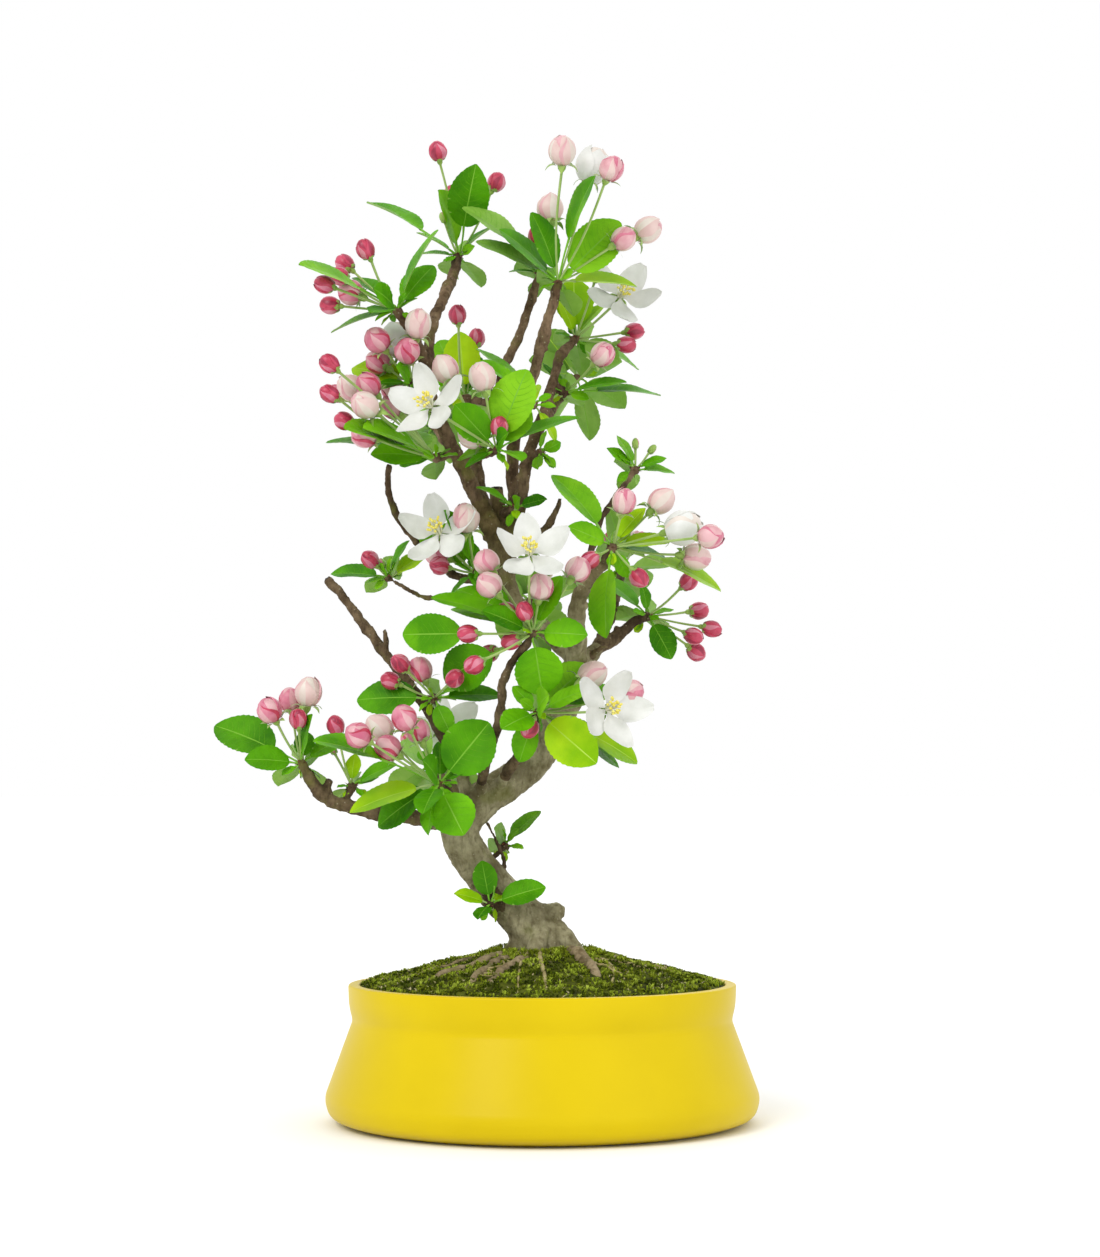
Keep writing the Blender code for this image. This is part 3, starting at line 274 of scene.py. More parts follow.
# Masses. Each has its carrier, the point its leaves spring from, and, as seen from
# the front, its leaves (bearing, reach, breadth) and its blooms (bearing, reach,
# stage); then how many leaves the rule adds, how far they reach, and where they lean.
MASSES = {
    "foliage_top_left": (
        "bough_top_left", (-39, 20, 393),
        [(147, 51, 0.4), (108, 27, 0.5), (152, 21, 0.3), (174, 18, 0.4), (76, 37, 1.1), (40, 21, 0.3)],
        [(101, 44, "red"), (96, 29, "red"), (62, 37, "red"), (112, 17, "green")], 3, 24, 1),
    "foliage_top_back": (
        "bough_left_back", (-1, 20, 385),
        [(174, 14, 0.3), (126, 11, 0.5), (-30, 11, 0.5), (67, 12, 0.6)],
        [(96, 15, "red")], 2, 22, 1),
    "foliage_top_right": (
        "bough_centre_back", (7, -10, 375),
        [(141, 55, 0.5), (140, 34, 0.5), (153, 41, 0.45), (131, 41, 0.45), (112, 32, 0.7), (45, 39, 1.0),
         (0, 35, 0.45), (69, 46, 0.35), (139, 17, 0.5)],
        [(88, 53, "blush"), (96, 34, "blush"), (73, 53, "half"), (63, 51, "pink"), (32, 47, "blush"),
         (33, 34, "pink")], 2, 24, 1),
    "foliage_left_upper": (
        "bough_left_upper", (-64, -35, 358),
        [(53, 26, 0.85), (61, 38, 0.3), (31, 10, 0.5), (-164, 30, 0.35), (-151, 10, 0.4), (-36, 10, 0.6),
         (140, 26, 0.5), (161, 42, 0.4)],
        [(118, 27, "red"), (137, 31, "red"), (150, 28, "red"), (164, 31, "red"), (174, 29, "red"),
         (158, 21, "pink")], 2, 20, -1),
    "foliage_left_spur": (
        "bough_left_front", (-58, -26, 327),
        [(161, 28, 0.8), (-177, 14, 0.5), (-169, 20, 0.4), (121, 10, 0.6)],
        [(82, 24, "blush"), (106, 21, "half"), (95, 12, "pink"), (129, 22, "pink"), (146, 17, "pink")],
        2, 18, -1),
    "foliage_umbel": (
        "bough_left_front", (-47, -24, 294),
        [(170, 50, 0.3), (167, 39, 0.45), (178, 28, 0.8), (190, 16, 0.6), (169, 31, 0.5), (144, 28, 0.6)],
        [(140, 58, "red"), (146, 53, "red"), (141, 47, "blush"), (151, 51, "red"), (157, 44, "red"),
         (134, 41, "pink"), (146, 35, "blush"), (121, 37, "pink"), (129, 29, "pink"), (165, 31, "pink")],
        2, 22, 1),
    "foliage_centre_upper": (
        "bough_left_front", (-20, -38, 296),
        [(128, 26, 1.1), (69, 37, 0.95), (-150, 15, 0.55), (-171, 17, 0.6), (52, 23, 0.95), (23, 39, 0.35)],
        [(149, 32, "open"), (122, 42, "blush"), (101, 31, "blush"), (82, 9, "red"), (148, 12, "blush")],
        2, 22, -1),
    "foliage_back_spur": (
        "bough_left_back", (-36, 36, 329),
        [(114, 31, 1.0), (95, 31, 1.1), (77, 22, 0.9), (66, 16, 0.7), (141, 19, 0.8)],
        [(95, 36, "red"), (80, 29, "red")], 3, 26, 1),
    "foliage_right_upper": (
        "bough_right_front", (15, 28, 356),
        [(91, 29, 1.0), (113, 19, 0.7), (-25, 22, 1.0), (-19, 31, 0.4), (-123, 15, 0.5), (165, 9, 0.5),
         (50, 22, 0.5)],
        [(40, 26, "open"), (9, 27, "red"), (-8, 23, "red"), (70, 27, "green")], 3, 24, 1),
    "foliage_right_spur": (
        "bough_right_front", (10, 18, 329),
        [(1, 44, 0.35), (8, 28, 0.4), (-12, 11, 0.8), (122, 11, 0.6), (122, 18, 0.5)],
        [(43, 23, "pink")], 2, 22, 1),
    "foliage_centre_spur": (
        "bough_centre_back", (-4, -8, 320),
        [(134, 37, 0.3), (145, 29, 0.4), (-60, 19, 0.5)],
        [], 1, 18, -1),
    "foliage_right_small": (
        "bough_right_front", (-1, -10, 298),
        [(30, 10, 1.0), (-45, 9, 0.8), (74, 10, 0.5)],
        [], 1, 12, -1),
    "foliage_fan": (
        "trunk", (-12, -13, 273),
        [(153, 19, 0.35), (14, 14, 0.8), (-79, 14, 0.4)],
        [], 1, 14, -1),
    "foliage_right_thin": (
        "bough_right_thin", (43, 36, 296),
        [(117, 18, 0.5), (143, 16, 0.6), (20, 15, 0.6), (-4, 18, 0.5)],
        [(90, 11, "green"), (51, 12, "green")], 2, 20, 1),
    "foliage_right": (
        "bough_right", (31, -30, 254),
        [(129, 42, 0.6), (157, 21, 0.9), (-63, 14, 1.3), (50, 22, 0.7), (6, 25, 0.6), (-8, 24, 0.4),
         (-21, 51, 0.35), (-94, 40, 0.6)],
        [(76, 19, "pink"), (44, 29, "blush"), (15, 31, "half"), (4, 41, "pink"), (-6, 36, "blush"),
         (-50, 17, "red"), (-148, 11, "red")], 2, 24, 1),
    "foliage_left_small": (
        "bough_left_low", (-71, 31, 245),
        [(175, 27, 0.5), (60, 19, 0.35), (32, 20, 0.7), (190, 10, 0.5), (82, 9, 0.4)],
        [(135, 11, "red"), (115, 7, "green")], 2, 20, 1),
    "foliage_left_centre": (
        "bough_left_middle", (-30, -12, 244),
        [(142, 32, 0.9), (117, 30, 0.5), (105, 15, 0.8), (-137, 14, 0.4)],
        [(99, 23, "blush"), (133, 22, "open"), (152, 18, "pink"), (170, 15, "red")], 2, 20, -1),
    "foliage_centre": (
        "bough_inner_rise", (-4, -50, 215),
        [(-81, 26, 1.2), (-3, 23, 0.95), (179, 57, 1.1), (-155, 43, 1.1), (157, 23, 0.8), (161, 46, 0.35),
         (162, 37, 0.45), (63, 27, 0.8), (148, 39, 0.7)],
        [(92, 32, "open"), (123, 36, "pink"), (132, 27, "pink"), (80, 19, "pink"), (55, 33, "pink"),
         (140, 14, "red"), (112, 9, "red"), (-161, 9, "red"), (-179, 27, "red"), (-150, 28, "red"),
         (-158, 20, "red")], 2, 18, 1),
    "foliage_right_low": (
        "bough_right_low", (48, 21, 227),
        [(141, 30, 0.5), (102, 14, 0.7), (-61, 22, 0.95), (13, 12, 0.5)],
        [(39, 23, "red"), (6, 23, "red"), (-12, 29, "red"), (-26, 22, "red"), (-36, 27, "red")], 3, 24, 1),
    "foliage_bare_spur": (
        "bough_bare_cut", (-48, -18, 188),
        [(-179, 34, 0.9), (-64, 17, 1.1), (21, 21, 0.4), (2, 29, 0.6)],
        [(134, 20, "red"), (158, 20, "red"), (116, 13, "pink"), (40, 12, "red")], 2, 22, 1),
    "foliage_low_front": (
        "bough_low_front", (-2, -44, 181),
        [(43, 30, 0.95), (23, 25, 0.6), (134, 15, 0.9), (-110, 22, 0.95), (-41, 33, 1.0), (-27, 48, 0.5),
         (-34, 42, 0.35), (13, 40, 0.5)],
        [(2, 29, "open"), (35, 28, "blush"), (12, 40, "pink"), (-117, 7, "red")], 2, 22, -1),
    "foliage_low_left": (
        "trunk", (-45, -36, 150),
        [(51, 34, 1.2), (-63, 24, 1.3), (-162, 40, 0.5), (-145, 32, 0.7), (25, 14, 0.5), (-101, 22, 0.5),
         (92, 18, 0.7), (161, 56, 0.3)],
        [(148, 39, "pink"), (137, 35, "blush"), (144, 26, "pink"), (117, 31, "pink"), (112, 24, "pink")],
        2, 22, -1),
    "foliage_far_left": (
        "bough_lowest_left", (-107, -12, 159),
        [(157, 43, 0.8), (176, 24, 0.8), (84, 14, 1.0), (32, 22, 0.7), (75, 22, 0.5)],
        [(119, 26, "pink"), (101, 28, "pink"), (84, 31, "blush"), (92, 19, "red")], 4, 24, 1),
    "foliage_lowest_spur": (
        "bough_lowest_left", (-85, -6, 149),
        [(85, 14, 0.9), (25, 22, 0.6), (19, 12, 0.6)],
        [(103, 27, "red"), (118, 18, "green")], 2, 20, 1),
    "foliage_trunk_spur": (
        "trunk", (-23, -16, 97),
        [(101, 19, 1.1), (163, 16, 0.6), (17, 25, 0.8)],
        [], 1, 14, -1),
    "foliage_trunk_shoot": (
        "trunk", (-17, 10, 122),
        [(44, 22, 0.6), (50, 10, 0.5)],
        [], 2, 20, 1),
    "foliage_back_low_left": (
        "bough_back_low_left", (-52, 58, 159), [], [], 8, 30, 1),
    "foliage_back_low_right": (
        "bough_back_low_right", (6, 56, 180), [], [], 7, 28, 1),
    "foliage_back_centre": (
        "bough_back_centre", (-6, 60, 236), [], [], 9, 30, 1),
    "foliage_back_right": (
        "bough_back_right", (38, 62, 252), [], [], 8, 28, 1),
    "foliage_back_upper_left": (
        "bough_back_upper_left", (-52, 62, 320), [], [], 8, 28, 1),
    "foliage_back_upper_right": (
        "bough_back_upper_right", (16, 62, 343), [], [], 8, 28, 1),
}

# Roots too fine for the solids: spots seen from above, radius at each end and bark
FINE_ROOTS = [
    ([(0, -12), (-1, -27), (1, -51), (2, -77)], 1.1, 0.7, "root_pale"),
    ([(-5, -16), (-9, -32), (-10, -55), (-10, -75)], 0.7, 0.4, "root_pale"),
    ([(-8, -12), (-18, -27), (-27, -44), (-33, -66)], 2.4, 1.7, "root"),
    ([(-11, -5), (-28, -12), (-45, -15), (-64, -18)], 1.4, 0.6, "root"),
    ([(20, -14), (29, -28), (31, -43), (27, -69)], 0.8, 0.6, "root_pale"),
    ([(13, 10), (26, 24), (34, 41), (38, 60)], 2.2, 1.2, "root"),
    ([(-6, 14), (-17, 33), (-22, 50), (-36, 66)], 2.0, 1.0, "root"),
]
ROOTLETS = 46
ROOTLET_END = 77          # how far from the axis the longest rootlets reach

# Dead stubs and bare twigs: rows of x, y, z and radius
STUBS = [
    [(-96, -10, 143, 1.9), (-95.6, -9, 148, 1.8), (-94.6, -8, 152, 1.7)],
    [(20, 2, 206, 1.4), (26, -2, 211, 1.2), (29.5, -4, 211.5, 0.9)],
    [(-5, -4, 258, 1.7), (3, -8, 266, 1.6), (7, -10, 274, 1.3), (8, -10, 278, 0.9)],
    [(-21, 0, 105, 1.2), (-17, 1, 113, 1.0), (-19.5, 2, 122, 0.85), (-25, 3, 133, 0.75)],
    [(-71, -2, 208, 1.6), (-70, -5, 214, 1.3), (-71, -6, 219, 0.8)],
]
# Sawn or broken ends that show bare wood: where, and how far from there
CUT_ENDS = [((-98.5, 8.2, 244), 2.6), ((-21.1, 0, 285), 3.4), ((-94.5, -8, 153), 1.9)]
STOUT_BOUGHS = ("bough_right",)
SLENDER_STEMS = ("foliage_trunk_shoot", "foliage_trunk_spur")

# Leaves drawn rounder or slimmer than the rule's, by mass and breadth in its table
LEAF_SHAPES = {
    ("foliage_low_left", 1.2): 1.25,
    ("foliage_low_left", 1.3): 1.45,
    ("foliage_centre", 1.2): 1.35,
    ("foliage_centre", 1.1): 0.84,
    ("foliage_right", 1.3): 0.76,
    ("foliage_top_left", 1.1): 0.88,
}
# Leaves that stand out by their colour: by mass, the order in its table and the tint
LEAF_TINTS = {
    "foliage_right_upper": {0: "fresh", 2: "under", 6: "fresh"},
    "foliage_low_front": {4: "fresh", 0: "light", 1: "light"},
    "foliage_low_left": {2: "fresh", 0: "deep", 1: "green"},
    "foliage_right": {3: "fresh"},
    "foliage_centre": {0: "green", 1: "green", 2: "green"},
    "foliage_top_right": {0: "under", 2: "under", 3: "light", 5: "light"},
}
# How the other leaves share the greens, in the lower crown and above it
GREENS = ("deep", "green", "light", "fresh")
LOW_SHARES = (45, 35, 14, 6)
HIGH_SHARES = (22, 34, 34, 10)
LOW_MASSES = (
    "foliage_centre", "foliage_low_front", "foliage_low_left", "foliage_far_left", "foliage_bare_spur",
    "foliage_lowest_spur", "foliage_back_low_left", "foliage_back_low_right", "foliage_trunk_spur",
    "foliage_right_low", "foliage_left_centre", "foliage_back_centre")

# A bud's tones, from one edge of each petal to the other, and how far its sepals bend back
BUD_TONES = {
    "green": ("calyx", "calyx", "rose", "calyx", "calyx"),
    "red": ("red", "wine", "red", "rose", "red"),
    "pink": ("rose", "pink", "pink", "blush", "pink"),
    "blush": ("pink", "blush", "petal", "blush", "blush"),
    "rosy": ("rose", "rose", "pink", "rose", "red"),
}
SEPAL_BEND = {"green": 0.0, "red": 0.2, "pink": 1.5, "blush": 2.0, "half": 2.2, "open": 2.3}
# Green cups: place and radius, up from a bud's foot and back from a blossom's middle;
# a bud's are shares of its length and of its cup's radius
BUD_CUP = ((-0.12, 0.55), (-0.02, 1.15), (0.1, 1.3), (0.2, 1.7), (0.28, 1.75))
BLOSSOM_CUP = ((3.9, 0.7), (3.0, 1.5), (1.6, 1.7), (0.2, 2.2))
HALF_OPEN_CUP = ((-1.8, 0.7), (-0.6, 1.5), (1.2, 1.8), (2.2, 2.3))
# An anther: place along it from the filament's end, and radius
ANTHER = ((-0.85, 0.16), (-0.3, 0.6), (0.4, 0.6), (0.9, 0.16))
# Masses whose pink buds are a deeper rose
ROSY_MASSES = (
    "foliage_low_left", "foliage_bare_spur", "foliage_left_spur", "foliage_left_upper", "foliage_umbel",
    "foliage_far_left")

# Materials: a name, the dark and light tone, the scale of the cloud between them, the
# roughness, the specular level and, for some, the strength and scale of a fine relief
TONES = {
    "glaze": ("yellow_glaze", (222, 194, 0), (231, 203, 0), 14, 0.38, 0.13, 0.05, 700),
    "soil": ("mossy_soil", (44, 48, 14), (100, 108, 30), 160, 0.95, 0.1, 1.0, 900),
    "moss_dark": ("moss_dark", (66, 80, 12), (100, 116, 22), 120, 0.9, 0.1),
    "moss_olive": ("moss_olive", (126, 142, 26), (152, 164, 42), 120, 0.9, 0.1),
    "moss_bright": ("moss_bright", (162, 184, 44), (190, 206, 78), 120, 0.9, 0.1),
    "straw": ("straw", (176, 164, 112), (216, 206, 160), 150, 0.8, 0.15),
    "root_pale": ("root_pale", (150, 134, 84), (186, 172, 120), 120, 0.8, 0.25, 0.6, 900),
    "cut_wood": ("cut_wood", (34, 28, 20), (70, 58, 42), 300, 0.9, 0.5, 0.6, 1200),
    "scale": ("bud_scale", (96, 50, 38), (146, 92, 62), 300, 0.6, 0.4),
    "deep": ("leaf_deep", (56, 126, 0), (94, 172, 4), 48, 0.5, 0.1, 0.35, 1400),
    "green": ("leaf_green", (78, 154, 0), (120, 198, 8), 48, 0.5, 0.1, 0.35, 1400),
    "light": ("leaf_light", (96, 170, 2), (140, 208, 28), 48, 0.5, 0.1, 0.35, 1400),
    "fresh": ("leaf_fresh", (138, 196, 0), (184, 226, 20), 48, 0.5, 0.1, 0.3, 1400),
    "under": ("leaf_underside", (124, 178, 52), (150, 198, 78), 70, 0.6, 0.3, 0.4, 1200),
    "rib": ("leaf_rib", (116, 184, 40), (140, 200, 64), 90, 0.5, 0.15),
    "vein": ("leaf_vein", (98, 172, 10), (116, 188, 24), 90, 0.5, 0.15),
    "fresh_rib": ("fresh_leaf_rib", (178, 222, 60), (194, 232, 90), 90, 0.5, 0.15),
    "stalk": ("flower_stalk", (150, 184, 84), (172, 200, 112), 110, 0.55, 0.5),
    "calyx": ("calyx", (134, 174, 62), (166, 198, 92), 160, 0.6, 0.5),
    "wine": ("bud_wine", (150, 28, 60), (186, 52, 88), 190, 0.4, 0.5),
    "red": ("bud_red", (186, 40, 72), (216, 74, 106), 190, 0.4, 0.5),
    "rose": ("bud_rose", (208, 100, 130), (230, 146, 164), 190, 0.42, 0.5),
    "pink": ("petal_pink", (222, 158, 166), (238, 188, 192), 170, 0.45, 0.5),
    "blush": ("petal_blush", (230, 196, 190), (240, 214, 206), 150, 0.5, 0.5),
    "petal": ("petal_cream", (230, 214, 202), (240, 230, 218), 140, 0.5, 0.5),
    "white": ("petal_white", (224, 226, 218), (242, 243, 238), 110, 0.5, 0.5, 0.25, 700),
    "filament": ("filament", (236, 238, 200), (246, 246, 222), 150, 0.5, 0.5),
    "anther": ("anther", (250, 232, 84), (255, 246, 140), 200, 0.7, 0.2),
}
DOWNY = ("stalk", "calyx")
SHEEN = 0.3
RELIEF_DEPTH = 0.0004     # metres
# Barks: a name, dark and light tone low on the plant, the same high up, the heights
# between which they change, and the tone of the dark blotches
BARKS = {
    "bark": ("bark", (118, 110, 78), (180, 173, 138), (84, 70, 42), (140, 122, 84), 205, 262, (80, 68, 40)),
    "twig": ("twig_bark", (70, 56, 38), (130, 112, 84), (90, 70, 50), (146, 122, 96), 200, 330, (44, 32, 20)),
    "root": ("root_bark", (124, 106, 76), (178, 160, 126), (124, 106, 76), (178, 160, 126), 60, 80,
             (70, 58, 34)),
}
FLECK_TONE = (190, 182, 152)
LICHEN_TONE = (112, 116, 44)


def srgb(tone):
    """Base colour for a tone of the photograph, under this studio's light."""
    shares = [value / 255 for value in tone]
    return tuple(SHADE * (share / 12.92 if share <= 0.04045 else ((share + 0.055) / 1.055) ** 2.4)
                 for share in shares)


def two_tone_ramp(nodes, dark, light, low, high):
    """A colour ramp from a dark tone to a light one."""
    ramp = nodes.new("ShaderNodeValToRGB")
    for stop, position, tone in zip(ramp.color_ramp.elements, (low, high), (dark, light)):
        stop.position = position
        stop.color = (*tone, 1.0)
    return ramp


def surface(name, dark, light, scale, roughness, specular, bump=0.0, bump_scale=0.0, sheen=0.0):
    """A Principled material whose colour wanders between two tones, with a fine relief."""
    mat = bpy.data.materials.new(name)
    mat.use_nodes = True
    nodes = mat.node_tree.nodes
    links = mat.node_tree.links
    shader = nodes["Principled BSDF"]
    shader.inputs["Roughness"].default_value = roughness
    shader.inputs["Specular IOR Level"].default_value = specular
    shader.inputs["Sheen Weight"].default_value = sheen
    place = nodes.new("ShaderNodeTexCoord")
    cloud = nodes.new("ShaderNodeTexNoise")
    cloud.inputs["Scale"].default_value = scale
    cloud.inputs["Detail"].default_value = 4.0
    ramp = two_tone_ramp(nodes, dark, light, 0.35, 0.65)
    links.new(place.outputs["Object"], cloud.inputs["Vector"])
    links.new(cloud.outputs["Fac"], ramp.inputs["Fac"])
    links.new(ramp.outputs["Color"], shader.inputs["Base Color"])
    if bump:
        grain = nodes.new("ShaderNodeTexNoise")
        grain.inputs["Scale"].default_value = bump_scale
        grain.inputs["Detail"].default_value = 3.0
        relief = nodes.new("ShaderNodeBump")
        relief.inputs["Strength"].default_value = bump
        relief.inputs["Distance"].default_value = RELIEF_DEPTH
        links.new(place.outputs["Object"], grain.inputs["Vector"])
        links.new(grain.outputs["Fac"], relief.inputs["Height"])
        links.new(relief.outputs["Normal"], shader.inputs["Normal"])
    return mat


def bark_surface(name, tones, start, end, blotch):
    """Bark that changes with height, with dark blotches, pale flecks, lichen and a rough relief."""
    low_dark, low_light, high_dark, high_light = tones
    mat = surface(name, low_dark, low_light, 110, 0.82, 0.12, bump=1.0, bump_scale=620)
    nodes = mat.node_tree.nodes
    links = mat.node_tree.links
    place = nodes["Texture Coordinate"]
    low = nodes["Color Ramp"]
    cloud = nodes["Noise Texture"]
    cloud.inputs["Detail"].default_value = 9.0
    cloud.inputs["Roughness"].default_value = 0.66

    def blend(factor, under, over):
        """One colour over another; a mix node's colour sockets are inputs 6 and 7 and output 2."""
        mix = nodes.new("ShaderNodeMix")
        mix.data_type = "RGBA"
        links.new(factor, mix.inputs["Factor"])
        links.new(under, mix.inputs[6])
        if isinstance(over, tuple):
            mix.inputs[7].default_value = (*over, 1.0)
        else:
            links.new(over, mix.inputs[7])
        return mix.outputs[2]

    def ranged(value, low_end, high_end, most):
        """A value that rises from nothing to its most between two ends."""
        node = nodes.new("ShaderNodeMapRange")
        node.inputs["From Min"].default_value = low_end
        node.inputs["From Max"].default_value = high_end
        node.inputs["To Max"].default_value = most
        links.new(value, node.inputs["Value"])
        return node.outputs["Result"]

    def grain(scale, detail, stretch):
        """A noise drawn out along the height."""
        flat = nodes.new("ShaderNodeMapping")
        flat.inputs["Scale"].default_value = (1.0, 1.0, stretch)
        tex = nodes.new("ShaderNodeTexNoise")
        tex.inputs["Scale"].default_value = scale
        tex.inputs["Detail"].default_value = detail
        links.new(place.outputs["Object"], flat.inputs["Vector"])
        links.new(flat.outputs["Vector"], tex.inputs["Vector"])
        return tex.outputs["Fac"]

    high = two_tone_ramp(nodes, high_dark, high_light, 0.38, 0.64)
    links.new(cloud.outputs["Fac"], high.inputs["Fac"])
    split = nodes.new("ShaderNodeSeparateXYZ")
    links.new(place.outputs["Object"], split.inputs["Vector"])
    share = ranged(split.outputs["Z"], start * MM, end * MM, 1.0)
    colour = blend(share, low.outputs["Color"], high.outputs["Color"])
    colour = blend(ranged(grain(62.0, 5.0, 0.6), 0.54, 0.66, 0.6), colour, blotch)
    colour = blend(ranged(grain(520.0, 4.0, 0.4), 0.5, 0.72, 0.6), colour, blotch)
    flecks = nodes.new("ShaderNodeTexVoronoi")
    flecks.inputs["Scale"].default_value = 330.0
    links.new(place.outputs["Object"], flecks.inputs["Vector"])
    colour = blend(ranged(flecks.outputs["Distance"], 0.16, 0.06, 0.5), colour, srgb(FLECK_TONE))
    colour = blend(ranged(grain(80.0, 4.0, 1.0), 0.56, 0.68, 0.45), colour, srgb(LICHEN_TONE))
    links.new(colour, nodes["Principled BSDF"].inputs["Base Color"])
    return mat


def make_materials():
    """Every material, by a short name."""
    materials = {}
    for kind, (name, dark, light, *looks) in TONES.items():
        sheen = SHEEN if kind in DOWNY else 0.0
        materials[kind] = surface(name, srgb(dark), srgb(light), *looks, sheen=sheen)
    for kind, (name, *tones, start, end, blotch) in BARKS.items():
        materials[kind] = bark_surface(name, [srgb(tone) for tone in tones], start, end, srgb(blotch))
    return materials


def around(axis):
    """Two directions across an axis, square to each other."""
    across = axis.cross(UP if abs(axis.z) < 0.9 else EAST).normalized()
    return across, axis.cross(across)


def spoke(across, other, angle):
    """The direction at an angle between two that are square to each other."""
    return across * math.cos(angle) + other * math.sin(angle)


def level(angle):
    """The level direction at an angle about the vertical."""
    return Vector((math.cos(angle), math.sin(angle), 0))


def grid(rows, size, closed=False):
    """Faces between rows of so many points; a closed row's last point meets its first."""
    faces = []
    for row in range(rows):
        for column in range(size if closed else size - 1):
            a = row * size + column
            b = row * size + (column + 1) % size
            faces.append((a, b, b + size, a + size))
    return faces


def flipped(faces, base=0):
    """The same faces seen from their other side, with their corners counted on from a base."""
    return [(a + base, d + base, c + base, b + base) for a, b, c, d in faces]


def linked(name, data):
    """A new object in the scene."""
    obj = bpy.data.objects.new(name, data)
    bpy.context.scene.collection.objects.link(obj)
    return obj


def finish_piece(obj, replaced):
    """The object rides on the plant's body, in place of its solids."""
    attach(obj, BODY)
    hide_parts(*replaced)


class Pile:
    """Points and faces that become one joined mesh, with a material for each face."""

    def __init__(self):
        self.points = []
        self.faces = []
        self.kinds = []

    def add(self, points, faces, kinds):
        """Faces with one kind for all of them, or a list with the kind of each."""
        base = len(self.points)
        self.points.extend(points)
        self.faces.extend(tuple(corner + base for corner in face) for face in faces)
        self.kinds.extend([kinds] * len(faces) if isinstance(kinds, str) else kinds)

    def tube(self, line, sides, kind, swell=None):
        """A closed tube along rows of x, y, z and radius."""
        points, faces = sweep(line, sides, swell)
        self.add(points, faces, kind)

    def mesh(self, name):
        """The bare mesh, in metres."""
        mesh = bpy.data.meshes.new(name)
        mesh.from_pydata([point * MM for point in self.points], [], self.faces)
        return mesh

    def build(self, name, materials, replaced, slot, angle=None):
        """The finished piece; edges sharper than an angle, if there is one, stay sharp."""
        mesh = self.mesh(name)
        used = sorted(set(self.kinds))
        for kind in used:
            mesh.materials.append(materials[kind])
        mesh.polygons.foreach_set("material_index", [used.index(kind) for kind in self.kinds])
        mesh.shade_smooth()
        if angle:
            mesh.set_sharp_from_angle(angle=math.radians(angle))
        mesh.validate()
        obj = linked(name, mesh)
        finish_piece(obj, replaced)
        return obj


def smooth_line(points, per_span):
    """Points of a Catmull-Rom line through tuples of numbers, ends included."""
    rows = [points[0], *points, points[-1]]
    line = []
    for index in range(1, len(rows) - 2):
        a, b, c, d = rows[index - 1:index + 3]
        for step in range(per_span):
            t = step / per_span
            line.append(tuple(
                0.5 * (2 * q + (r - p) * t + (2 * p - 5 * q + 4 * r - s) * t ** 2
                       + (3 * q - p - 3 * r + s) * t ** 3)
                for p, q, r, s in zip(a, b, c, d)))
    line.append(tuple(points[-1]))
    return line


def limb_line(points, thick, thin, per_span):
    """A limb's smooth line, tapering from its base to its tip."""
    rows = smooth_line(points, per_span)
    last = len(rows) - 1
    return [(*row, thick + (thin - thick) * (k / last) ** 0.8) for k, row in enumerate(rows)]


def sweep(line, sides, swell=None):
    """Points and faces of a closed tube along rows of x, y, z and radius."""
    rows = [Vector(row[:3]) for row in line]
    last = len(rows) - 1
    points = []
    across = None
    for k, row in enumerate(rows):
        way = (rows[min(k + 1, last)] - rows[max(k - 1, 0)]).normalized()
        if across is None:
            across = around(way)[0]
        across = (across - way * across.dot(way)).normalized()
        other = way.cross(across)
        for side in range(sides):
            angle = math.tau * side / sides
            radius = line[k][3] * (swell(k / last, angle) if swell else 1.0)
            points.append(row + spoke(across, other, angle) * radius)
    faces = grid(last, sides, closed=True)
    faces.append(tuple(reversed(range(sides))))
    faces.append(tuple(range(last * sides, (last + 1) * sides)))
    return points, faces


def aim(bearing, reach, lean):
    """The way to a point that lies at a bearing and reach seen from the front."""
    angle = math.radians(bearing)
    depth = max(-DEEPEST, min(DEEPEST, reach * math.tan(math.radians(lean))))
    return Vector((reach * math.cos(angle), depth, reach * math.sin(angle)))


def aim_length(bearing, length, lean):
    """The way to a point at a true distance, whatever its lean."""
    angle = math.radians(bearing)
    tilt = math.radians(lean)
    flat = length * math.cos(tilt)
    return Vector((flat * math.cos(angle), length * math.sin(tilt), flat * math.sin(angle)))


def leaf_frame(way, breadth, outward, rng):
    """Length, half width, stalk and the directions along, across and out of a leaf."""
    total = way.length
    blade = min(total * LEAF_BLADE_SHARE, LEAF_MAX_LENGTH)
    ratio = rng.uniform(0.56, 0.68) + 0.16 * max(0.0, min(breadth, 1.2) - 0.6)
    along = way.normalized()
    facing = outward - along * outward.dot(along)
    facing.normalize()
    side = along.cross(facing)
    if side.z < 0:
        side = -side
    seen = min(1.0, breadth)
    normal = facing * seen + side * math.sqrt(1.0 - seen * seen)
    curl = LEAF_CURL * blade
    along = (way + normal * curl).normalized()
    normal = (normal - along * normal.dot(along)).normalized()
    across = along.cross(normal)
    return blade, blade * ratio / 2, total - blade, along, across, normal


def blossom_frame(way, outward):
    """The way an open blossom faces and one direction across it."""
    facing = (way.normalized() * 0.6 + outward * 0.55 + UP * 0.15).normalized()
    across = facing.cross(UP).normalized()
    return facing, across, facing.cross(across)


def stalk_start(boss, way):
    """Where a stalk starts, inside the swelling that ends its stem."""
    return boss + way.normalized() * STALK_FOOT


def leaf_half_width(share):
    """A leaf's half width along its blade, of its widest."""
    return 1.03 * max(0.0, 4 * share * (1 - share)) ** 0.56 * (1 - 0.32 * share ** 7)


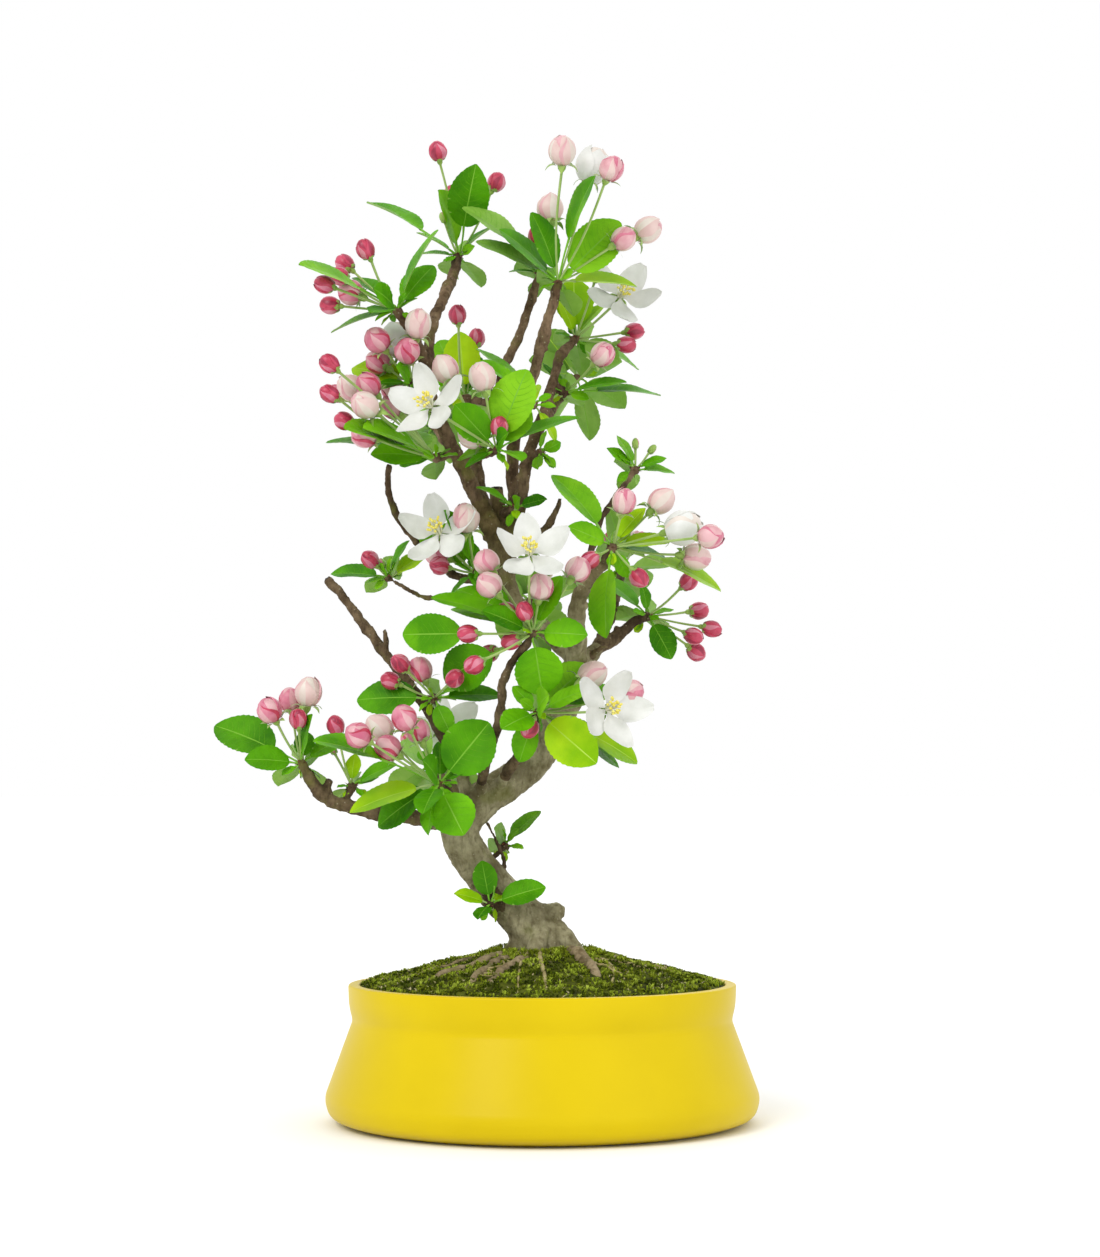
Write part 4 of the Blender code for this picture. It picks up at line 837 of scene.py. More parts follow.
def add_leaf(pile, base, frame, tint, rng):
    """A leaf with a folded, toothed blade of two skins, a midrib, side veins and a stalk."""
    blade, half, stalk, along, across, normal = frame
    rows = max(7, round(blade / LEAF_ROW))
    fold = rng.uniform(0.1, 0.26)
    wave = rng.uniform(0.1, 0.3)
    phase = rng.uniform(0, math.tau)
    twist = rng.uniform(-0.12, 0.12)
    veins = max(4, round(blade / VEIN_SPACING))
    rib_kind = "fresh_rib" if tint == "fresh" else "rib"

    def place(spread, share, lift):
        """A point at a share of the blade, with hollows between the veins and a wavy edge."""
        wide = half * leaf_half_width(share)
        rise = fold * abs(spread) * wide
        rise += wave * math.sin(share * 11 + phase + (2 if spread > 0 else 0)) * spread * spread
        hollow = 0.22 * math.cos(math.tau * (share * veins - abs(spread) * 0.9))
        rise += hollow * min(1.0, abs(spread) * 2) * (1 - spread ** 4)
        rise += twist * spread * wide * share
        middle = base + along * (stalk + blade * share) - normal * (LEAF_CURL * blade * share ** 2)
        return middle + across * (spread * wide) + normal * (rise + lift + 0.3)

    top = []
    under = []
    last = len(LEAF_SPREAD) - 1
    for row in range(rows + 1):
        share = 0.01 + 0.985 * row / rows
        tooth = 1.0 + (TOOTH if row % 2 else -TOOTH * 0.4)
        for column, spread in enumerate(LEAF_SPREAD):
            if column in (0, last):
                top.append(place(spread * tooth, share, 0.0))
                under.append(place(spread * tooth, share, 0.0))
            else:
                rib = abs(spread) < 0.1
                top.append(place(spread, share, LEAF_SKIN * (0.4 if rib else 1.0)))
                under.append(place(spread, share, -LEAF_SKIN * (2.0 if rib else 1.0)))
    faces = []
    kinds = []
    for k, face in enumerate(grid(rows, last + 1)):
        faces += [face, tuple(corner + len(top) for corner in reversed(face))]
        kinds += [rib_kind, rib_kind] if k % last == LEAF_RIB_STRIP else [tint, "under"]
    pile.add(top + under, faces, kinds)
    if blade > VEINED_LENGTH and tint != "fresh":
        for k in range(1, veins):
            for hand in (-1, 1):
                add_vein(pile, place, 0.06 + 0.8 * k / veins + (0.02 if hand > 0 else 0.0), hand, blade)
    if stalk > 0.5:
        add_leaf_stalk(pile, base, frame, "stalk" if tint == "fresh" else "rib", rng)


def add_vein(pile, place, start, hand, blade):
    """One pale side vein that lies on the upper skin and thins out."""
    points = []
    steps = 3
    for k in range(steps + 1):
        share = k / steps
        spread = hand * (0.05 + 0.77 * share)
        along = start + 0.17 * share ** 1.3
        slim = VEIN_HALF_WIDTH * (1 - 0.75 * share) / blade
        points.append(place(spread, min(0.97, along - slim), 0.23))
        points.append(place(spread, min(0.975, along + slim), 0.23))
    pile.add(points, [(k, k + 1, k + 3, k + 2) for k in range(0, 2 * steps, 2)], "vein")


def add_leaf_stalk(pile, base, frame, kind, rng):
    """A leaf's stalk, bent a little and swollen at both ends."""
    _, _, stalk, along, across, normal = frame
    bend = across * rng.uniform(-0.7, 0.7) + normal * 0.4
    steps = 4
    line = []
    for k in range(steps + 1):
        share = k / steps
        middle = base + along * (stalk * 1.04 * share) + bend * math.sin(math.pi * share)
        middle += normal * 0.3 * share
        line.append((*middle, 0.42 + 0.22 * abs(2 * share - 1) ** 2))
    pile.tube(line, 5, kind)


def add_stalk(pile, start, end, end_way, thin, thick, rng):
    """A flower stalk that bends a little on its way."""
    way = end - start
    bend = Vector((rng.uniform(-1, 1), rng.uniform(-1, 1), rng.uniform(-1.2, 0.1))) * way.length * 0.035
    steps = 7
    line = []
    for k in range(steps + 1):
        share = k / steps
        middle = start + way * share + bend * math.sin(math.pi * share)
        line.append((*middle, thin + (thick - thin) * share ** 2))
    line.append((*(end + end_way * 0.8), thick * 1.25))
    pile.tube(line, 6, "stalk")


def add_cup(pile, foot, axis, rows):
    """The green cup of a bud or blossom, from rows of height and radius."""
    pile.tube([(*(foot + axis * height), radius) for height, radius in rows], 10, "calyx")


def add_sepals(pile, foot, axis, radius, length, bend, rng):
    """Five pointed sepals that start round the top of the green cup."""
    across, other = around(axis)
    turn = rng.uniform(0, math.tau)
    for k in range(SEPALS):
        out = spoke(across, other, turn + math.tau * k / SEPALS)
        side = axis.cross(out)
        lean = bend + rng.uniform(-0.15, 0.15)
        points = []
        for row in range(SEPAL_ROWS + 1):
            share = row / SEPAL_ROWS
            wide = radius * 0.78 * (1 - share) ** 0.75 + 0.05
            along = spoke(axis, out, SEPAL_TILT + (lean - SEPAL_TILT) * share)
            middle = foot + out * (radius + 0.2) + along * (length * share)
            points += [middle - side * wide, middle + out * 0.18, middle + side * wide]
        pile.add(points, grid(SEPAL_ROWS, 3), "calyx")


def bud_radius(share):
    """A bud's radius at a share of its length, of its widest."""
    return math.sin(math.pi * (0.08 + 0.86 * share) ** 0.9) ** 0.62


def bud_core(body, axis, width, tall, end, end_width):
    """The line of a bud's closed body, inside its outer petals, up to a small blunt end."""
    line = [(*(body + axis * tall * row / BUD_ROWS), width * bud_radius(row / BUD_ROWS))
            for row in range(BUD_ROWS)]
    line.append((*(body + axis * tall * end), end_width))
    return line


def add_bud_shell(pile, body, axis, width, tall, angle, order, tones, rng):
    """One outer petal of a bud, wrapped round it, with a rounded edge that turns in on the bud."""
    across, other = around(axis)
    reach = rng.uniform(0.86, 1.0)
    spread = rng.uniform(1.15, 1.45)
    slant = rng.uniform(-0.35, 0.35)
    sides = [-1.0] + [2 * strip / SHELL_STRIPS - 1 for strip in range(SHELL_STRIPS + 1)] + [1.0]
    last = len(sides) - 1
    points = []
    for row in range(SHELL_ROWS + 1):
        share = row / SHELL_ROWS
        high = reach * share
        broad = spread * (0.75 + 0.25 * math.sin(math.pi * share)) * (1 - 0.9 * share ** 4)
        for column, side in enumerate(sides):
            out = spoke(across, other, angle + side * broad + slant * share)
            lifted = 0.02 + 0.024 * order + 0.02 * abs(side) ** 3
            radius = max(0.25, bud_radius(min(0.99, high)) * 0.96 + lifted) * width * 0.5
            if row == SHELL_ROWS or column in (0, last):
                radius *= 0.86
            points.append(body + axis * (tall * (high + 0.02 * order * share)) + out * radius)
    kinds = [tones[min(4, int(column * 5 / last))] for column in range(last)] * SHELL_ROWS
    pile.add(points, grid(SHELL_ROWS, last + 1), kinds)


def add_bud(pile, base, way, stage, look, rng):
    """A bud: its stalk, green cup, sepals and petals wrapped over one another."""
    width, length = BUD_SIZES[stage]
    width *= rng.uniform(0.96, 1.04)
    axis = way.normalized()
    foot = base + way - axis * length / 2
    cup = 0.13 * width
    tones = BUD_TONES[look]
    add_stalk(pile, base, foot - axis * length * 0.1, axis, 0.5, 0.62, rng)
    add_cup(pile, foot, axis * length, [(share, cup * size) for share, size in BUD_CUP])
    turn = rng.uniform(0, math.tau)
    body = foot + axis * length * 0.12
    tall = length * 0.88
    points, faces = sweep(bud_core(body, axis, width * 0.48, tall, 0.985, width * 0.13), BUD_SIDES)
    pile.add(points, faces, [tones[int(k % BUD_SIDES * 5 / BUD_SIDES)] for k in range(len(faces))])
    for order in range(1 if stage == "green" else BUD_SHELLS):
        angle = turn + math.tau * order * SHELL_TURN
        add_bud_shell(pile, body, axis, width, tall, angle, order, tones, rng)
    add_sepals(pile, foot + axis * length * 0.1, axis, cup * 1.7, length * 0.36, SEPAL_BEND[stage], rng)


def petal_half_width(share):
    """A petal's half width along it, of its widest: a narrow claw and an oval blade."""
    rising = min(1.0, share / 0.36)
    claw = 0.14 + 0.86 * rising * rising * (3 - 2 * rising)
    return claw * (0.06 + 0.94 * math.sin(math.pi * share ** 0.95) ** 0.52)


def add_petal(pile, centre, facing, out, length, half, lift, cup, rng):
    """One petal that rises from its claw, cups across and waves along its edge."""
    along = (out + facing * lift).normalized()
    wide = along.cross(facing).normalized()
    normal = wide.cross(along)
    if normal.dot(facing) < 0:
        normal = -normal
    phase = rng.uniform(0, math.tau)
    roll = rng.uniform(-0.2, 0.2)
    points = []
    for row in range(PETAL_ROWS + 1):
        share = 1 - (1 - row / PETAL_ROWS) ** 1.4
        breadth = half * petal_half_width(min(share, 0.985))
        for column in range(PETAL_STRIPS + 1):
            spread = 2 * column / PETAL_STRIPS - 1
            rise = length * (0.28 * cup * share ** 2 - 0.1 * math.sin(math.pi * share))
            rise += half * 0.3 * cup * spread ** 2 * math.sin(math.pi * min(1.0, share * 1.1)) ** 0.5
            rise += half * 0.09 * math.sin(7 * share + phase + 2 * spread) * abs(spread) ** 2
            rise += half * 0.03 * math.cos(13 * spread) * share
            rise -= half * 0.07 * math.exp(-(spread * 5) ** 2) * share
            rise += roll * breadth * spread * share
            points.append(centre + along * (length * share) + wide * (breadth * spread) + normal * rise)
    pile.add(points, grid(PETAL_ROWS, PETAL_STRIPS + 1), "white")


def add_stamens(pile, centre, facing, across, other, rng):
    """A tuft of pale filaments, each with a yellow anther."""
    for k in range(STAMENS):
        out = spoke(across, other, math.tau * (k + rng.uniform(-0.3, 0.3)) / STAMENS)
        way = (facing + out * rng.uniform(0.06, 0.5)).normalized()
        length = STAMEN_LENGTH * rng.uniform(0.7, 1.1)
        start = centre + out * 0.7
        middle = start + way * length * 0.5 + out * 0.4
        end = start + way * length
        pile.tube([(*start, 0.24), (*middle, 0.2), (*end, 0.16)], 4, "filament")
        tip = (way + out * 0.5).normalized()
        pile.tube([(*(end + tip * along), radius) for along, radius in ANTHER], 6, "anther")


def add_blossom(pile, base, way, outward, turn, rng):
    """An open blossom: stalk, cup, sepals behind, five petals and the stamens."""
    facing, across, other = blossom_frame(way, outward)
    centre = base + way
    add_stalk(pile, base, centre - facing * 3.6, facing, 0.55, 0.7, rng)
    add_cup(pile, centre, -facing, BLOSSOM_CUP)
    add_sepals(pile, centre - facing * 1.7, facing, 1.7, 4.6, SEPAL_BEND["open"], rng)
    raised = rng.randrange(PETALS)
    for k in range(PETALS):
        out = spoke(across, other, turn + math.tau * k / PETALS + rng.uniform(-0.08, 0.08))
        lift = rng.uniform(0.08, 0.36) + (0.4 if k == raised else 0.0)
        length = PETAL_LENGTH * rng.uniform(1.0, 1.08)
        half = PETAL_HALF_WIDTH * rng.uniform(0.96, 1.1)
        cup = rng.uniform(0.15, 0.75)
        add_petal(pile, centre + facing * 0.3 + out * 0.7, facing, out, length, half, lift, cup, rng)
    add_stamens(pile, centre, facing, across, other, rng)


def add_half_open(pile, base, way, rng):
    """A blossom that is about to open: broad white petals still cupped over one another."""
    width, length = BUD_SIZES["half"]
    axis = way.normalized()
    foot = base + way - axis * length / 2
    add_stalk(pile, base, foot - axis * 1.5, axis, 0.5, 0.7, rng)
    add_cup(pile, foot, axis, HALF_OPEN_CUP)
    body = foot + axis * 1.6
    tall = length - 1.8
    add_sepals(pile, body, axis, 1.9, 5.0, SEPAL_BEND["half"], rng)
    turn = rng.uniform(0, math.tau)
    pile.tube(bud_core(body, axis, width * 0.46, tall, 0.97, width * 0.12), BUD_SIDES, "petal")
    for order in range(PETALS):
        tones = ("petal", "white", "white", "white", "petal" if order % 2 else "white")
        angle = turn + math.tau * order * SHELL_TURN
        add_bud_shell(pile, body, axis, width, tall, angle, order * 0.6, tones, rng)


class Solid:
    """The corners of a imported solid, to ask whether one lies at a point."""

    def __init__(self, obj):
        self.tree = KDTree(len(obj.data.vertices))
        for k, vert in enumerate(obj.data.vertices):
            self.tree.insert(vert.co, k)
        self.tree.balance()

    def has(self, point):
        """Whether a corner lies at the point."""
        return self.tree.find(point * MM)[2] < FOUND_WITHIN * MM


def leaf_tip(base, frame):
    """The tip of the solid's leaf."""
    blade, _, stalk, along, _, normal = frame
    return base + along * (stalk + blade) - normal * (LEAF_CURL * blade)


def bloom_tip(base, way, stage, facing):
    """The tip of the solid's bud, or the middle of its open blossom."""
    if stage == "open":
        return base + way + blossom_frame(way, facing)[0] * BLOSSOM_MIDDLE
    return base + way + way.normalized() * BUD_SIZES[stage][1] / 2


def settled(solid, bearing, reach, lean, aimed, tip_of):
    """The way that the rule settled on for the solid's leaf or bloom, or nothing."""
    share = 0.4 if aimed is aim_length else 1.0
    for shift in SHIFTS:
        for more in LEANS:
            way = aimed(bearing + shift, reach, lean + more * share)
            if solid.has(tip_of(way)):
                return way
    return None


def leaf_tint(name, order, rng):
    """The green of a leaf: named for those that stand out, drawn for the rest."""
    chosen = LEAF_TINTS.get(name, {}).get(order)
    if chosen:
        return chosen
    return rng.choices(GREENS, LOW_SHARES if name in LOW_MASSES else HIGH_SHARES)[0]


def grow_mass(name, spec, solid, piles):
    """One mass by the rule of its solid, with finer growth at its foot."""
    boss = Vector(spec[1])
    leaves, blooms, extra, spread, side = spec[2:]
    rng = random.Random(f"{SEED}-{name}")
    fine = random.Random(f"fine-{name}")
    outward = Vector((0, side, 0))
    centres = []

    def leaf(bearing, reach, breadth, lean, facing, aimed, order):
        """Grow one leaf where the solid has it; an added leaf, of order -1, keeps clear of blossom."""
        leaf_seed = rng.random()

        def frame_of(way):
            return leaf_frame(way, breadth, facing, random.Random(leaf_seed))

        way = settled(solid, bearing, reach, lean, aimed,
                      lambda way: leaf_tip(stalk_start(boss, way), frame_of(way)))
        if way is None:
            return 0
        start = stalk_start(boss, way)
        if order < 0 and any((centre - start - way * part).length < BLOSSOM_CLEARANCE
                             for centre in centres for part in (0.6, 0.8, 1.0)):
            return 1
        blade, half, *rest = frame_of(way)
        frame = (blade, half * LEAF_SHAPES.get((name, breadth), 1.0), *rest)
        add_leaf(piles["leaves"], start, frame, leaf_tint(name, order, fine), fine)
        return 1

    def bloom(bearing, reach, stage, lean, facing, aimed):
        """Grow one bud or blossom where the solid has it."""
        turn = rng.uniform(0, math.tau)
        way = settled(solid, bearing, reach, lean, aimed,
                      lambda way: bloom_tip(stalk_start(boss, way), way, stage, facing))
        if way is None:
            return 0
        start = stalk_start(boss, way)
        if stage == "open":
            add_blossom(piles["blooms"], start, way, facing, turn, fine)
            centres.append(start + way)
        elif stage == "half":
            add_half_open(piles["blooms"], start, way, fine)
        else:
            look = "rosy" if stage == "pink" and name in ROSY_MASSES else stage
            add_bud(piles["blooms"], start, way, stage, look, fine)
        return 1

    found = 0
    wanted = len(blooms) + sum(row[1] > SMALLEST_REACH for row in leaves) + extra
    for k, (bearing, reach, stage) in enumerate(blooms):
        found += bloom(bearing, reach, stage, BLOOM_LEANS[k % 3], FRONT, aim)
    for k, (bearing, reach, breadth) in enumerate(leaves):
        lean = LEAF_LEANS[k % 3]
        if reach > SMALLEST_REACH:
            found += leaf(bearing, reach, breadth, lean, FRONT, aim, k)
        else:
            way = aim(bearing, reach, lean)
            frame = leaf_frame(way, breadth, FRONT, fine)
            add_leaf(piles["leaves"], stalk_start(boss, way), frame, "light", fine)
    if not leaves:
        wanted += BLOOMS_BEHIND
        for k in range(BLOOMS_BEHIND):
            stage = BACK_BLOOMS[rng.randrange(len(BACK_BLOOMS))]
            bearing = 60 + 70 * k + rng.uniform(-25, 25)
            found += bloom(bearing, spread, stage, 55 * side, outward, aim_length)
    for k in range(extra):
        bearing = 360 * (k + rng.uniform(0.1, 0.9)) / extra
        lean = rng.uniform(*(ADDED_LEANS if leaves else BACK_LEANS)) * side
        reach = spread * rng.uniform(0.85, 1.15)
        found += leaf(bearing, reach, rng.uniform(0.4, 0.9), lean, outward, aim_length, -1)
    add_bracts(piles, boss, fine)
    return found, wanted


def add_bracts(piles, boss, rng):
    """Small young leaves and brown bud scales round the foot of a cluster."""
    for _ in range(BRACTS):
        way = aim_length(rng.uniform(0, 360), rng.uniform(5.5, 9.5), rng.uniform(-60, 60))
        breadth = rng.uniform(0.4, 0.9)
        facing = Vector((rng.uniform(-1, 1), -1, 0.3)).normalized()
        frame = leaf_frame(way, breadth, facing, rng)
        tint = rng.choice(("light", "fresh", "green"))
        add_leaf(piles["leaves"], boss + way.normalized() * 1.4, frame, tint, rng)
    for k in range(BUD_SCALES):
        angle = math.tau * k / BUD_SCALES + rng.uniform(-0.3, 0.3)
        out = Vector((math.cos(angle), math.sin(angle), rng.uniform(-0.4, 0.5))).normalized()
        side = out.cross(UP).normalized()
        foot = boss + out * 2.1
        tip = boss + out * 3.6 + Vector((0, 0, 0.6))
        points = [foot - side * 0.9, foot + side * 0.9, tip, foot + UP * 0.5]
        piles["twigs"].add(points, [(0, 1, 3), (1, 2, 3), (2, 0, 3)], "scale")


def grow_masses(solids, materials):
    """Every mass, then each kind of growth as one joined mesh for the front and one for the back."""
    behind = [name for name in MASSES if name.startswith("foliage_back_")]
    before = [name for name in MASSES if name not in behind]
    for place, names in (("front", before), ("back", behind)):
        piles = {"leaves": Pile(), "blooms": Pile(), "twigs": Pile()}
        for name in names:
            found, wanted = grow_mass(name, MASSES[name], solids[name], piles)
            if found < wanted:
                print(f"{name}: {found} of {wanted} found in the solid")
        piles["leaves"].build(f"leaves_{place}", materials, names, "leaf", angle=50)
        piles["blooms"].build(f"blossom_{place}", materials, names, "leaf", angle=50)
        piles["twigs"].build(f"bud_scales_{place}", materials, names, "leaf")


def nearest_row(line, boss):
    """The row of a limb's line that lies nearest to a point."""
    return min(line, key=lambda row: (Vector(row[:3]) - boss).length)


def knobbly(rng, rings, strength):
    """A radius factor with rings and buds along a limb."""
    starts = [rng.uniform(0, 1) for _ in range(rings)]
    sides = [rng.uniform(0, math.tau) for _ in range(rings)]

    def swell(share, angle):
        factor = 1.0
        for start, side in zip(starts, sides):
            near = math.exp(-((share - start) * rings * 2.6) ** 2)
            factor += strength * near * (0.45 + 0.55 * math.cos(angle - side))
        return factor

    return swell


def add_knots(pile, line, rng):
    """Buds, scars and stubs that stand out of a bough every few millimetres."""
    since = rng.uniform(3, 9)
    for before, row in zip(line, line[1:]):
        step = Vector(row[:3]) - Vector(before[:3])
        since -= step.length
        if since > 0:
            continue
        since = rng.uniform(*KNOT_SPACING)
        way = step.normalized()
        out = way.cross(Vector([rng.uniform(-1, 1) for _ in range(3)])).normalized()
        radius = row[3]
        foot = Vector(row[:3]) + out * radius * 0.55
        tip = Vector(row[:3]) + out * radius * rng.uniform(1.15, 1.5) + way * radius * rng.uniform(0.1, 0.9)
        knot = [(*foot, radius * 0.62), (*((foot + tip) / 2), radius * 0.55), (*tip, radius * 0.3)]
        pile.tube(knot, 8, "bark")


def flare_lines():
    """Ridges that spread from the foot of the trunk down to its seat."""
    foot = Vector((2, 0, SEAT_HEIGHT))
    lines = []
    for bearing in FLARE_BEARINGS:
        out = level(math.radians(bearing))
        rows = [(*(foot + UP * 14 - out * 1), 5.0), (*(foot + UP * 6 + out * FLARE_REACH * 0.5), 4.6),
                (*(foot + out * FLARE_REACH - UP * 3), 3.4)]
        lines.append(smooth_line(rows, 4))
    return lines


def remeshed(name, pile, voxel, passes):
    """One skin over the tubes of a pile, evened out."""
    obj = linked(name, pile.mesh(name))
    skin = obj.modifiers.new("Skin", "REMESH")
    skin.mode = "VOXEL"
    skin.voxel_size = voxel * MM
    even = obj.modifiers.new("Even", "SMOOTH")
    even.factor = 0.5
    even.iterations = passes
    bpy.context.view_layer.update()
    made = bpy.data.meshes.new_from_object(obj.evaluated_get(bpy.context.evaluated_depsgraph_get()))
    obj.modifiers.clear()
    obj.data = made
    return obj


def roughen(obj, depth, grain, swell=0.0, lowest=0.0):
    """Move a skin's points along their normals by the bark's relief; none ends below the lowest height."""
    verts = obj.data.vertices
    places = [vert.co.copy() for vert in verts]
    normals = [vert.normal.copy() for vert in verts]
    flat = []
    for place, normal in zip(places, normals):
        spot = place / MM
        coarse = noise.fractal(Vector((spot.x, spot.y, spot.z * 0.5)) / grain, 1.0, 2.0, 4)
        crack = abs(noise.noise(Vector((spot.x * 1.6, spot.y * 1.6, spot.z * 0.45)) / grain))
        spot += normal * (swell + depth * (0.8 * coarse - 1.4 * max(0.0, 0.25 - crack)))
        flat.extend((spot.x * MM, spot.y * MM, max(spot.z, lowest) * MM))
    verts.foreach_set("co", flat)
    obj.data.update()


def add_trunk(pile, trunk):
    """The trunk with the ridges at its foot and the knob on its side."""
    pile.tube(trunk, TRUNK_SIDES, "bark")
    for line in flare_lines():
        pile.tube(line, LIMB_SIDES, "bark")
    knob = Vector(KNOB[0])
    radius = KNOB[1]
    pile.tube([(*(knob - UP * radius * 0.8), radius * 0.5), (*(knob - UP * 2), radius * 0.95),
               (*(knob + UP * 2), radius * 0.95), (*(knob + UP * radius * 0.8), radius * 0.45)], 12, "bark")
    pile.tube([(*(knob + KNOB_FOOT), radius * 1.7), (*(knob + KNOB_FOOT * 0.5), radius * 1.3),
               (*(knob + KNOB_FOOT * 0.1), radius * 0.95)], 16, "bark")


def add_boughs(pile, lines, painted, rng):
    """Every bough with its knots and its collar; its line is kept for the stems that it carries."""
    for name, (carrier, rows, thick, slim) in BOUGHS.items():
        line = limb_line(rows, thick, slim, 5)
        lines[name] = line
        length = sum((Vector(b[:3]) - Vector(a[:3])).length for a, b in zip(line, line[1:]))
        pile.tube(line, LIMB_SIDES, "bark", knobbly(rng, max(3, round(length / 8)), 0.26))
        add_knots(pile, line, rng)
        collar = [(*row[:3], row[3] * swell) for row, swell in zip(line, COLLAR_SWELL)]
        pile.tube(collar, LIMB_SIDES, "bark")
        foot = Vector(line[0][:3])
        grey = COLLAR * thick + nearest_row(lines[carrier], foot)[3] if carrier == "trunk" else 0.0
        if name in STOUT_BOUGHS:
            grey = math.inf
        painted += [(row, "bark" if (Vector(row[:3]) - foot).length < grey else "twig") for row in line]


def add_stems(pile, lines, painted, rng):
    """Each mass's stem, from the limb that carries it to the swelling where its stalks start."""
    for name, (carrier, place, *_) in MASSES.items():
        boss = Vector(place)
        start = nearest_row(lines[carrier], boss)
        root = Vector(start[:3])
        way = (boss - root).normalized()
        thick = min(SLENDER_STEM_THICK if name in SLENDER_STEMS else STEM_THICK, start[3] * 0.9)
        side = way.cross(UP).normalized() * rng.uniform(-1.2, 1.2)
        rows = [(*root, thick * 1.25), (*(root.lerp(boss, 0.4) + side), thick),
                (*(boss - way * 1.9), thick * 1.05), (*(boss + way * 0.2), 2.1), (*(boss + way * 1.7), 1.5)]
        line = smooth_line(rows, 4)
        pile.tube(line, STEM_SIDES, "bark", knobbly(rng, 5, 0.24))
        painted += [(row, "twig") for row in line]


def build_wood(materials):
    """Trunk, boughs and the masses' stems as one skin with the bark's relief."""
    rng = random.Random(SEED)
    pile = Pile()
    trunk = smooth_line(TRUNK, 5)
    lines = {"trunk": trunk}
    painted = []
    add_trunk(pile, trunk)
    add_boughs(pile, lines, painted, rng)
    add_stems(pile, lines, painted, rng)
    for rows in STUBS:
        line = smooth_line(rows, 4)
        pile.tube(line, STEM_SIDES, "bark", knobbly(rng, 4, 0.2))
        painted += [(row, "twig") for row in line]
    for line in (trunk, *flare_lines()):
        painted += [(row, "bark") for row in line]
    wood = remeshed("bark_of_trunk_and_boughs", pile, VOXEL, 2)
    roughen(wood, 0.75, 3.6, swell=0.08, lowest=SEAT_HEIGHT - 1.0)
    paint_limbs(wood, painted, materials)
    finish_piece(wood, ["trunk", *BOUGHS])


def paint_limbs(wood, rows, materials):
    """The trunk's bark on the trunk and stout limbs, the twigs' bark on thin ones, bare wood on cut ends."""
    tree = KDTree(len(rows))
    for k, (row, _) in enumerate(rows):
        tree.insert(Vector(row[:3]) * MM, k)
    tree.balance()
    kinds = ("bark", "twig", "cut_wood")
    mesh = wood.data
    mesh.materials.clear()
    for kind in kinds:
        mesh.materials.append(materials[kind])
    slots = []
    for face in mesh.polygons:
        near = min(tree.find_n(face.center, 12), key=lambda hit: hit[2] - rows[hit[1]][0][3] * MM)
        kind = rows[near[1]][1]
        if any((face.center - Vector(end) * MM).length < reach * MM for end, reach in CUT_ENDS):
            kind = "cut_wood"
        slots.append(kinds.index(kind))
    mesh.polygons.foreach_set("material_index", slots)
    mesh.shade_smooth()


def mound_height(radius):
    """The height of the smooth mound at a distance from the axis."""
    if radius <= SEAT_RADIUS:
        return SEAT_HEIGHT
    share = (radius - SEAT_RADIUS) / (POT_RIM_RADIUS - POT_WALL - SEAT_RADIUS)
    return SEAT_HEIGHT - (SEAT_HEIGHT - MOUND_EDGE_HEIGHT) * share ** MOUND_POWER


def soil_height(x, y):
    """The mound's height with its humps."""
    radius = math.hypot(x, y)
    rim = POT_RIM_RADIUS - POT_WALL
    fade = min(1.0, max(0.0, (rim - radius) / 6))
    hump = 1.5 * noise.noise(Vector((x / 13, y / 13, 3.0)))
    hump += 0.7 * noise.noise(Vector((x / 4.2, y / 4.2, 9.0)))
    return mound_height(min(radius, rim)) + hump * fade - SOIL_SINK


def build_moss(materials):
    """The mossy soil as a humped sheet with a skirt inside the pot, and its tufts."""
    rim = POT_RIM_RADIUS - POT_WALL - GAP
    points = [Vector((0, 0, soil_height(0, 0)))]
    for ring in range(1, SOIL_RINGS + 1):
        radius = rim * ring / SOIL_RINGS
        for side in range(SOIL_SIDES):
            x = radius * math.cos(math.tau * side / SOIL_SIDES)
            y = radius * math.sin(math.tau * side / SOIL_SIDES)
            points.append(Vector((x, y, soil_height(x, y))))
    points += [point - UP * SKIRT_DEPTH for point in points[-SOIL_SIDES:]]
    faces = [(0, 1 + side, 1 + (side + 1) % SOIL_SIDES) for side in range(SOIL_SIDES)]
    faces += flipped(grid(SOIL_RINGS, SOIL_SIDES, closed=True), 1)
    pile = Pile()
    pile.add(points, faces, "soil")
    pile.build("mossy_soil", materials, ["moss_mound"], "moss")
    build_tufts(materials, rim)


def build_tufts(materials, rim):
    """Moss tufts, brighter in patches, and a few dry straws."""
    rng = random.Random(SEED + 1)
    pile = Pile()
    for _ in range(TUFTS):
        radius = rim * math.sqrt(rng.random()) * 0.995
        angle = rng.uniform(0, math.tau)
        x = radius * math.cos(angle)
        y = radius * math.sin(angle)
        if radius < BARE_RADIUS and rng.random() < 0.7:
            continue
        patch = noise.noise(Vector((x / 9, y / 9, 21.0))) + rng.uniform(-0.3, 0.3)
        kind = "moss_bright" if patch > 0.2 else "moss_olive" if patch > -0.1 else "moss_dark"
        if rng.random() < 0.05:
            kind = "straw"
        foot = Vector((x, y, soil_height(x, y) - 0.25))
        close = max(0.0, 1 - abs(radius - SEAT_RADIUS) / 9)
        if close > 0.3 and kind == "moss_dark":
            kind = "moss_olive"
        tall = rng.uniform(0.7, 1.7) * (1.25 if kind == "moss_bright" else 1.0) * (1 + 0.7 * close)
        blades, leans = (2, (1.2, 2.6)) if kind == "straw" else (6, (0.2, 1.1))
        for _ in range(blades):
            out = level(rng.uniform(0, math.tau))
            side = Vector((-out.y, out.x, 0)) * rng.uniform(0.22, 0.4)
            lean = rng.uniform(*leans)
            tip = foot + out * tall * lean + UP * tall
            middle = foot + out * tall * lean * 0.35 + UP * tall * 0.62
            pile.add([foot - side, foot + side, middle + side * 0.9, middle - side * 0.9, tip],
                     [(0, 1, 2, 3), (3, 2, 4)], kind)
    pile.build("moss_tufts", materials, ["moss_mound"], "moss")


